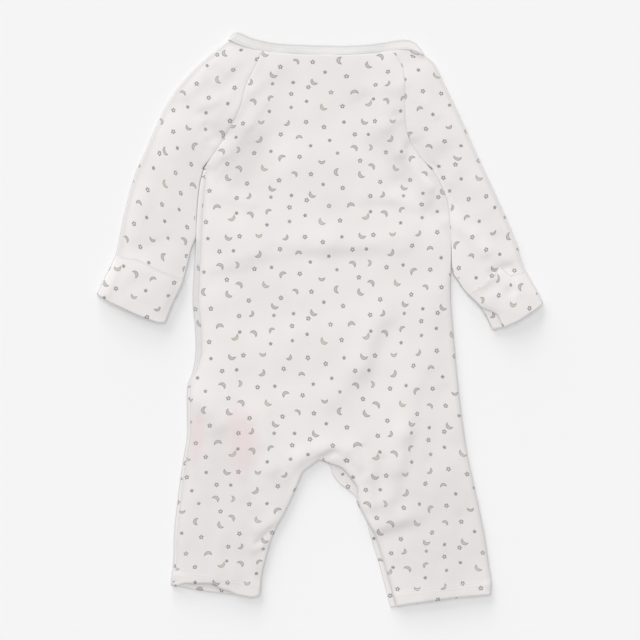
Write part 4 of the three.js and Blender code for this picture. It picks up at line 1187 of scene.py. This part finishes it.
def wear_group():
    """Unevenness of a washed cloth: a slow cloud and a fine fuzz."""
    group, given, put = new_group("Washed cloth", {"Place": None}, ("Tone", "Fuzz"))
    wire(group, put, {
        "Tone": ease(group, grain(group, given["Place"], 14.0, 3.0), 0.3, 0.7),
        "Fuzz": grain(group, given["Place"], 900.0, 2.0, 0.6),
    })
    return group


def mark_group():
    """A soft mark: the distance from Middle in units of Size, made ragged by 0.9 (noise - 0.5), eased from
    1 at 0.25 to 0 at 1.15."""
    group, given, put = new_group(
        "Soft mark", {"Place": None, "Middle": None, "Size": (0.02, 0.02, 1.0)}, ("Mask",))
    plus, less, times = sums_of(group)
    away = given["Place"]
    for operation, by in (("SUBTRACT", "Middle"), ("DIVIDE", "Size"), ("LENGTH", None)):
        node = group.nodes.new("ShaderNodeVectorMath")
        node.operation = operation
        wire(group, node, {0: away, 1: given[by]} if by else {0: away})
        away = node.outputs["Value" if operation == "LENGTH" else "Vector"]
    ragged = plus(away, times(less(grain(group, given["Place"], 60.0), 0.5), 0.9))
    wire(group, put, {"Mask": ease(group, ragged, 0.25, 1.15, 1.0, 0.0)})
    return group


def use_group(tree, group, inputs):
    """A group placed in a tree, with its inputs."""
    node = tree.nodes.new("ShaderNodeGroup")
    node.node_tree = group
    return wire(tree, node, inputs)


def new_material(name):
    """A material with its tree and its shader."""
    material = bpy.data.materials.new(name)
    material.use_nodes = True
    tree = material.node_tree
    return material, tree, tree.nodes["Principled BSDF"]


def object_place(tree):
    """The place on the suit, in the object's own metres."""
    return tree.nodes.new("ShaderNodeTexCoord").outputs["Object"]


def uv_of(tree, name):
    """The place in one of the UV maps."""
    node = tree.nodes.new("ShaderNodeUVMap")
    node.uv_map = name
    return node.outputs[0]


def attribute_of(tree, name):
    """A node that reads one of the mesh's attributes."""
    node = tree.nodes.new("ShaderNodeAttribute")
    node.attribute_name = name
    return node


def rgba(colour):
    """A colour with full cover."""
    return (*colour, 1.0)


def shared_groups():
    """The four groups, built once."""
    makers = {"Star and moon": motif_group, "Stockinette": knit_group, "Washed cloth": wear_group,
              "Soft mark": mark_group}
    return {name: bpy.data.node_groups.get(name) or make() for name, make in makers.items()}


COTTON = {"Roughness": 0.86, "Sheen Weight": 0.12, "Sheen Roughness": 0.5, "Specular IOR Level": 0.25}


def with_painted_shade(tree, tone, colours):
    """The tone, with painted shade where the cloth turns down at a fold or a rim, and where it is steep and
    faces the neck light.
    """
    return blend_colour(tree, attribute_of(tree, "edge").outputs["Fac"], tone, rgba(colours.edge))


def cloth_bump(tree, shader, cloth, fuzz, strength, distance):
    """Knit and fuzz as one bump."""
    knit = use_group(tree, shared_groups()["Stockinette"], {"Cloth": cloth}).outputs["Height"]
    height = calc(tree, "ADD", knit, calc(tree, "MULTIPLY", fuzz, 0.5))
    bump = tree.nodes.new("ShaderNodeBump")
    wire(tree, bump, {"Strength": strength, "Distance": distance, "Height": height})
    tree.links.new(bump.outputs[0], shader.inputs["Normal"])


def jersey_material(name, colours, marks=()):
    """Printed jersey: washed cotton, its pink stains and grey marks, most of them painted shade, then the
    print's fills and lines over it, and painted shade at folds and rims.
    """
    material = bpy.data.materials.get(name)
    if material:
        return material
    groups = shared_groups()
    material, tree, shader = new_material(name)
    place, cloth = object_place(tree), uv_of(tree, "cloth")
    wash_and_shade = use_group(tree, groups["Washed cloth"], {"Place": place})
    tone = blend_colour(tree, wash_and_shade.outputs["Tone"], rgba(colours.jersey), rgba(colours.jersey_shade))
    for x, y, half_width, half_height, strength, tint in marks:
        mark = use_group(tree, groups["Soft mark"], {
            "Place": place, "Middle": (x * MM, y * MM, MARK_HEIGHT * MM),
            "Size": (half_width * MM, half_height * MM, 1.0)}).outputs[0]
        tone = blend_colour(tree, calc(tree, "MULTIPLY", mark, strength), tone, rgba(tint))
    kind = attribute_of(tree, "motif_kind").outputs["Vector"]
    motif = use_group(tree, groups["Star and moon"], {"Place": uv_of(tree, "motif"), "Kind": kind})
    tint = parts_of(tree, kind)[2]
    fill = blend_colour(tree, tint, rgba(colours.moon), rgba(colours.tan))
    line = blend_colour(tree, tint, rgba(colours.ink), rgba(colours.tan_ink))
    tone = blend_colour(tree, motif.outputs["Fill"], tone, fill)
    rubbed = ease(tree, wash_and_shade.outputs["Fuzz"], 0.2, 0.5, 0.8, 1.0)
    worn = calc(tree, "MULTIPLY", motif.outputs["Line"], rubbed)
    # Painted shade at folds, turns and rims, read from the edge attribute
    tone = with_painted_shade(tree, blend_colour(tree, worn, tone, line), colours)
    wire(tree, shader, {"Base Color": tone, **COTTON})
    cloth_bump(tree, shader, cloth, wash_and_shade.outputs["Fuzz"], 0.25, 0.0001)
    return material


def binding_material(colours):
    """Plain fine rib, clouded between its own colour, set darker as painted shade, and the jersey's, with
    painted shade at its edges.
    """
    material, tree, shader = new_material("fine_rib")
    wash_and_shade = use_group(tree, shared_groups()["Washed cloth"], {"Place": object_place(tree)})
    tone = blend_colour(tree, wash_and_shade.outputs["Tone"], rgba(colours.binding), rgba(colours.jersey))
    tone = with_painted_shade(tree, tone, colours)
    wire(tree, shader, {"Base Color": tone, **COTTON})
    cloth_bump(tree, shader, uv_of(tree, "cloth"), wash_and_shade.outputs["Fuzz"], 0.3, 0.00012)
    return material


def thread_material(colours):
    """White sewing thread, with a faint fuzz."""
    material, tree, shader = new_material("sewing_thread")
    fuzz = grain(tree, object_place(tree), 1500.0)
    tone = blend_colour(tree, fuzz, rgba(colours.thread), rgba(colours.jersey_shade))
    wire(tree, shader, {"Base Color": tone, "Roughness": 0.6, "Sheen Weight": 0.1})
    return material


# ---- Sewing
def stitches(name, paths, length, gap, radius, material):
    """Rows of stitches: along each path of points, a short spindle of thread for each stitch, its radius
    radius * sqrt(1 - t^2) along its length. All stitches are worked out as one array."""
    starts, ends = [], []
    for path in paths:
        run = run_of(path)
        count = max(int(run[-1] / (length + gap)), 1)
        begin = np.arange(count) * (run[-1] / count)
        for store, at in ((starts, begin), (ends, begin + length)):
            store.append(np.stack([np.interp(at, run, path[:, k]) for k in range(3)], axis=-1))
    start, end = np.concatenate(starts), np.concatenate(ends)
    way = end - start
    way /= np.linalg.norm(way, axis=1)[:, None]
    side = np.cross(way, (0, 0, 1.0))
    side /= np.linalg.norm(side, axis=1)[:, None]
    up = np.cross(side, way)
    t, flatness = np.array([-1, -0.8, 0, 0.8, 1.0]), 0.7
    around = np.linspace(0, 2 * np.pi, STITCH_SIDES, endpoint=False)
    girth = radius * np.sqrt(np.maximum(1 - t**2, 0.02))
    spine = mix(start[:, None], end[:, None], ((t + 1) / 2)[None, :, None])[:, :, None, :]
    ring = np.cos(around)[None, None, :, None] * side[:, None, None, :]
    ring = ring + np.sin(around)[None, None, :, None] * up[:, None, None, :] * flatness
    points = (spine + girth[None, :, None, None] * ring).reshape(-1, 3)
    grid = index_grid((len(t), STITCH_SIDES))
    wrap = np.hstack([grid, grid[:, :1]])
    quads = np.stack([wrap[:-1, :-1], wrap[:-1, 1:], wrap[1:, 1:], wrap[1:, :-1]], axis=-1).reshape(-1, 4)
    halves = [0, 1, 2, 3], [0, 3, 4, 5]
    caps = np.array([tip[half] for tip in (grid[0, ::-1], grid[-1]) for half in halves])
    one = np.concatenate([quads, caps])[:, ::-1]
    faces = (one[None] + (np.arange(len(start)) * grid.size)[:, None, None]).reshape(-1, 4)
    mesh = bpy.data.meshes.new(name)
    mesh.from_pydata((points * MM).tolist(), [], faces.tolist())
    mesh.polygons.foreach_set("use_smooth", np.ones(len(mesh.polygons), dtype=bool))
    return finish_piece(add_object(name, mesh), material)


def on_cloth(piece, plan, lift, above=50):
    """A plan path laid on the top of a piece, lift above it, by rays from above."""
    path = []
    for x, y in plan:
        hit, place, _, _ = piece.ray_cast((x * MM, y * MM, above * MM), (0, 0, -1))
        if hit:
            path.append((x, y, place[2] / MM + lift))
    return np.array(path)


# ---- Properties
def millimetres(name, description, default):
    """A length whose default is given in millimetres."""
    return FloatProperty(
        name=name, description=description, default=default * MM, unit="LENGTH", precision=4)


def colour(name, description, default):
    """A colour swatch."""
    return FloatVectorProperty(
        name=name, description=description, default=default, size=3, subtype="COLOR")


class SleepsuitSizes(bpy.types.PropertyGroup):
    """Sizes that a maker would change."""

    stitch_length: millimetres("Stitch length", "Length of one stitch of the twin-needle seams", 2.3)
    stitch_gap: millimetres("Stitch gap", "Gap between one stitch and the next", 0.5)
    thread_radius: millimetres("Thread", "Half the thickness of the sewing thread", 0.2)
    frame_width: FloatProperty(
        name="Frame", description="Width that the camera takes in", default=0.5504, unit="LENGTH")


class SleepsuitColours(bpy.types.PropertyGroup):
    """Colours of the cloth, its print and the floor."""

    jersey: colour("Jersey", "Washed white jersey", (0.85, 0.823, 0.812))
    jersey_shade: colour("Jersey shade", "The jersey's slightly darker clouds", (0.82, 0.793, 0.782))
    # The binding's colour is set darker than the jersey's as painted shade, holding down the light that its
    # raised strip catches
    binding: colour("Binding", "Neck binding", (0.705, 0.703, 0.688))
    ink: colour("Ink", "Outlines of the print", (0.35, 0.325, 0.33))
    moon: colour("Moon", "Fill of the moons", (0.57, 0.54, 0.54))
    tan: colour("Tan", "Fill of the sand-coloured moons", (0.62, 0.585, 0.50))
    tan_ink: colour("Tan outline", "Outline of the sand-coloured moons and stars", (0.40, 0.38, 0.335))
    # Colour of the painted shade at folds, turns and rims, and on steep cloth that faces the neck light
    edge: colour("Edge", "Folded and cut edges, greyer than the cloth", (0.52, 0.51, 0.51))
    pink: colour("Pink mark", "Faint pink marks", (0.83, 0.70, 0.70))
    # Colour of the grey marks: painted shade at the underarms, the left hip and the right thigh, and a
    # darker grey over both legs
    grey: colour("Grey mark", "Faint grey marks", (0.765, 0.735, 0.725))
    thread: colour("Thread", "Sewing thread", (0.84, 0.82, 0.82))
    floor: colour("Floor", "The pale floor", (0.93, 0.93, 0.93))


# ---- Operators
# Name, strength, spread, tilt towards the neck and turn, in degrees
LAMPS = (
    ("top_light", 1.15, 60, 8, 0), ("neck_light", 1.45, 36, 72, 32), ("low_light", 1.0, 16, 80, 5),
)


class SLEEPSUIT_OT_stage(bpy.types.Operator):
    """Set the camera, the floor and soft light from above, with its source towards the neck"""

    bl_idname = "sleepsuit.stage"
    bl_label = "Stage"

    def execute(self, context):
        scene = context.scene
        lens, sensor, middle_height = 100.0, 36.0, 0.003
        data = bpy.data.cameras.new("camera")
        data.lens, data.sensor_width = lens, sensor
        scene.camera = add_object("camera", data)
        scene.camera.location.z = scene.sleepsuit_sizes.frame_width * lens / sensor + middle_height

        half, level = 3.0, -0.0002
        mesh = bpy.data.meshes.new("floor")
        corners = [(x * half, y * half, level) for x, y in ((-1, -1), (1, -1), (1, 1), (-1, 1))]
        mesh.from_pydata(corners, [], [(0, 1, 2, 3)])
        floor = add_object("floor", mesh)
        material, tree, shader = new_material("pale_floor")
        cloud = grain(tree, object_place(tree), 3.0)
        base = rgba(scene.sleepsuit_colours.floor)
        tone = blend_colour(tree, calc(tree, "MULTIPLY", cloud, 0.01), base, (0.9, 0.9, 0.9, 1.0))
        wire(tree, shader, {"Base Color": tone, "Roughness": 0.95, "Specular IOR Level": 0.0})
        mesh.materials.append(material)

        world = bpy.data.worlds.new("studio")
        world.use_nodes = True
        sky = world.node_tree.nodes["Background"]
        wire(world.node_tree, sky, {"Color": (1, 1, 1, 1), "Strength": 0.42})
        scene.world = world
        for name, strength, spread, tilt, turn in LAMPS:
            lamp = bpy.data.lights.new(name, "SUN")
            lamp.energy, lamp.angle = strength, math.radians(spread)
            light = add_object(name, lamp)
            light.rotation_euler = (-math.radians(tilt), 0, math.radians(turn))
            light.location = (0, 0.5, 1.5)
        scene.view_settings.view_transform = "Standard"
        return {"FINISHED"}


class SLEEPSUIT_OT_back(bpy.types.Operator):
    """Cut the back: the panel that lies on top, with its folds, hems, stains and grey marks, most of them
    painted shade
    """

    bl_idname = "sleepsuit.back"
    bl_label = "Back"

    def execute(self, context):
        colours = context.scene.sleepsuit_colours
        points, cells, tone = make_back()
        points = seam_dips(points, [RAGLAN_LINES["left"], RAGLAN_LINES["right"]])
        thickness = leg_thickness(points[:, 0], points[:, 1])
        pattern = dragged(points[:, 0], points[:, 1])
        piece = shell("back_jersey", points, cells, thickness, pattern, edge=tone)
        marks = [(*row, tuple(colours.pink)) for row in PINK_MARKS]
        # Grey marks: mostly painted shade
        marks += [(*row, tuple(colours.grey)) for row in GREY_SHADE_MARKS]
        finish_piece(piece, jersey_material("stained_and_shaded_jersey", colours, marks), "back")
        return {"FINISHED"}


class SLEEPSUIT_OT_front(bpy.types.Operator):
    """Cut the front, the panel underneath, rolled round the left side, and its legs' popper strip"""

    bl_idname = "sleepsuit.front"
    bl_label = "Front and popper strip"

    def execute(self, context):
        colours = context.scene.sleepsuit_colours
        points, cells, pattern, tone = make_front()
        thickness = leg_thickness(points[:, 0], points[:, 1])
        turned_up = points[:, 1] < hem_level(points[:, 0]) + HEM_DEPTH
        piece = shell("front_jersey", points, cells, thickness, pattern, (True, turned_up), edge=tone)
        finish_piece(piece, jersey_material("printed_jersey", colours), "front")
        points, cells, pattern = make_placket()
        piece = shell("placket", points, cells, WALL, pattern)
        finish_piece(piece, jersey_material("printed_jersey", colours), "leg_placket")
        return {"FINISHED"}


class SLEEPSUIT_OT_sleeves(bpy.types.Operator):
    """Cut the two raglan sleeves"""

    bl_idname = "sleepsuit.sleeves"
    bl_label = "Sleeves"

    def execute(self, context):
        colours = context.scene.sleepsuit_colours
        cuts = ("left", (0.134, 0.251), 0.028), ("right", (0.121, 0.255), 0.0224)
        for name, flat, area in cuts:
            points, cells, pattern, tone = make_sleeve(name)
            points = seam_dips(points, [RAGLAN_LINES[name]])
            piece = shell(f"{name}_sleeve_jersey", points, cells, WALL, pattern, edge=tone)
            finish_piece(piece, jersey_material("printed_jersey", colours), f"{name}_sleeve")
        return {"FINISHED"}


class SLEEPSUIT_OT_mitts(bpy.types.Operator):
    """Turn the fold-over mitts back on to the sleeves"""

    bl_idname = "sleepsuit.mitts"
    bl_label = "Mitts"

    def execute(self, context):
        colours = context.scene.sleepsuit_colours
        cuts = ("left", (0.062, 0.043), 0.00255), ("right", (0.061, 0.048), 0.00175)
        for name, flat, area in cuts:
            points, cells, pattern, tone = make_mitt(name)
            piece = shell(f"{name}_mitt_jersey", points, cells, WALL, pattern, (True, True), edge=tone)
            finish_piece(piece, jersey_material("printed_jersey", colours), f"{name}_mitt")
        return {"FINISHED"}


class SLEEPSUIT_OT_binding(bpy.types.Operator):
    """Bind the neck"""

    bl_idname = "sleepsuit.binding"
    bl_label = "Neck binding"

    def execute(self, context):
        points, cells, pattern = make_binding()
        lanes = np.linspace(0, BINDING_WIDTH, BINDING_LANES)
        # Painted shade along the binding's free edge
        tone = np.repeat(fold_edge_shade(lanes, *BINDING_EDGE_SHADE), len(points) // BINDING_LANES)
        piece = shell("neck_binding_rib", points, cells, HEM_WALL, pattern, (False, False), edge=tone)
        finish_piece(piece, binding_material(context.scene.sleepsuit_colours), "neck_binding")
        return {"FINISHED"}


class SLEEPSUIT_OT_sewing(bpy.types.Operator):
    """Sew the binding and the ankle hems with rows of stitches"""

    bl_idname = "sleepsuit.sewing"
    bl_label = "Sewing"

    def execute(self, context):
        sizes = context.scene.sleepsuit_sizes
        thread = thread_material(context.scene.sleepsuit_colours)
        facts = (sizes.stitch_length / MM, sizes.stitch_gap / MM, sizes.thread_radius / MM, thread)
        context.view_layer.update()
        binding = bpy.data.objects["neck_binding_rib"]
        back = bpy.data.objects["back_jersey"]
        shares, lift = np.linspace(0.02, 0.98, 150), 0.02
        plans = [binding_place(shares, at, False) for at in BINDING_STITCHES]
        stitches("binding_stitches", [on_cloth(binding, plan, lift) for plan in plans], *facts)
        across = [np.linspace(*ankle, 60) for ankle in ANKLES]
        plans = [np.column_stack([x, hem_level(x) + above]) for x in across for above in HEM_STITCHES]
        stitches("hem_stitches", [on_cloth(back, plan, lift) for plan in plans], *facts)
        return {"FINISHED"}


STEPS = (
    SLEEPSUIT_OT_stage, SLEEPSUIT_OT_back, SLEEPSUIT_OT_front, SLEEPSUIT_OT_sleeves, SLEEPSUIT_OT_mitts,
    SLEEPSUIT_OT_binding, SLEEPSUIT_OT_sewing,
)


class SLEEPSUIT_PT_panel(bpy.types.Panel):
    """The sleepsuit's steps, sizes and colours"""

    bl_idname = "SLEEPSUIT_PT_panel"
    bl_label = "Sleepsuit"
    bl_space_type = "VIEW_3D"
    bl_region_type = "UI"
    bl_category = "Sleepsuit"

    def draw(self, context):
        for step in STEPS:
            self.layout.operator(step.bl_idname)
        for group in (context.scene.sleepsuit_sizes, context.scene.sleepsuit_colours):
            for name in group.bl_rna.properties.keys():
                if name not in ("rna_type", "name"):
                    self.layout.prop(group, name)


CLASSES = (SleepsuitSizes, SleepsuitColours, *STEPS, SLEEPSUIT_PT_panel)


def register():
    """Registers the classes and puts the settings in the scene."""
    for item in CLASSES:
        bpy.utils.register_class(item)
    bpy.types.Scene.sleepsuit_sizes = PointerProperty(type=SleepsuitSizes)
    bpy.types.Scene.sleepsuit_colours = PointerProperty(type=SleepsuitColours)


def unregister():
    """Takes both away again."""
    del bpy.types.Scene.sleepsuit_colours
    del bpy.types.Scene.sleepsuit_sizes
    for item in reversed(CLASSES):
        bpy.utils.unregister_class(item)


def main():
    """Builds the suit step by step."""
    register()
    for step in STEPS:
        area, name = step.bl_idname.split(".")
        getattr(getattr(bpy.ops, area), name)()


if __name__ == "__main__":
    main()
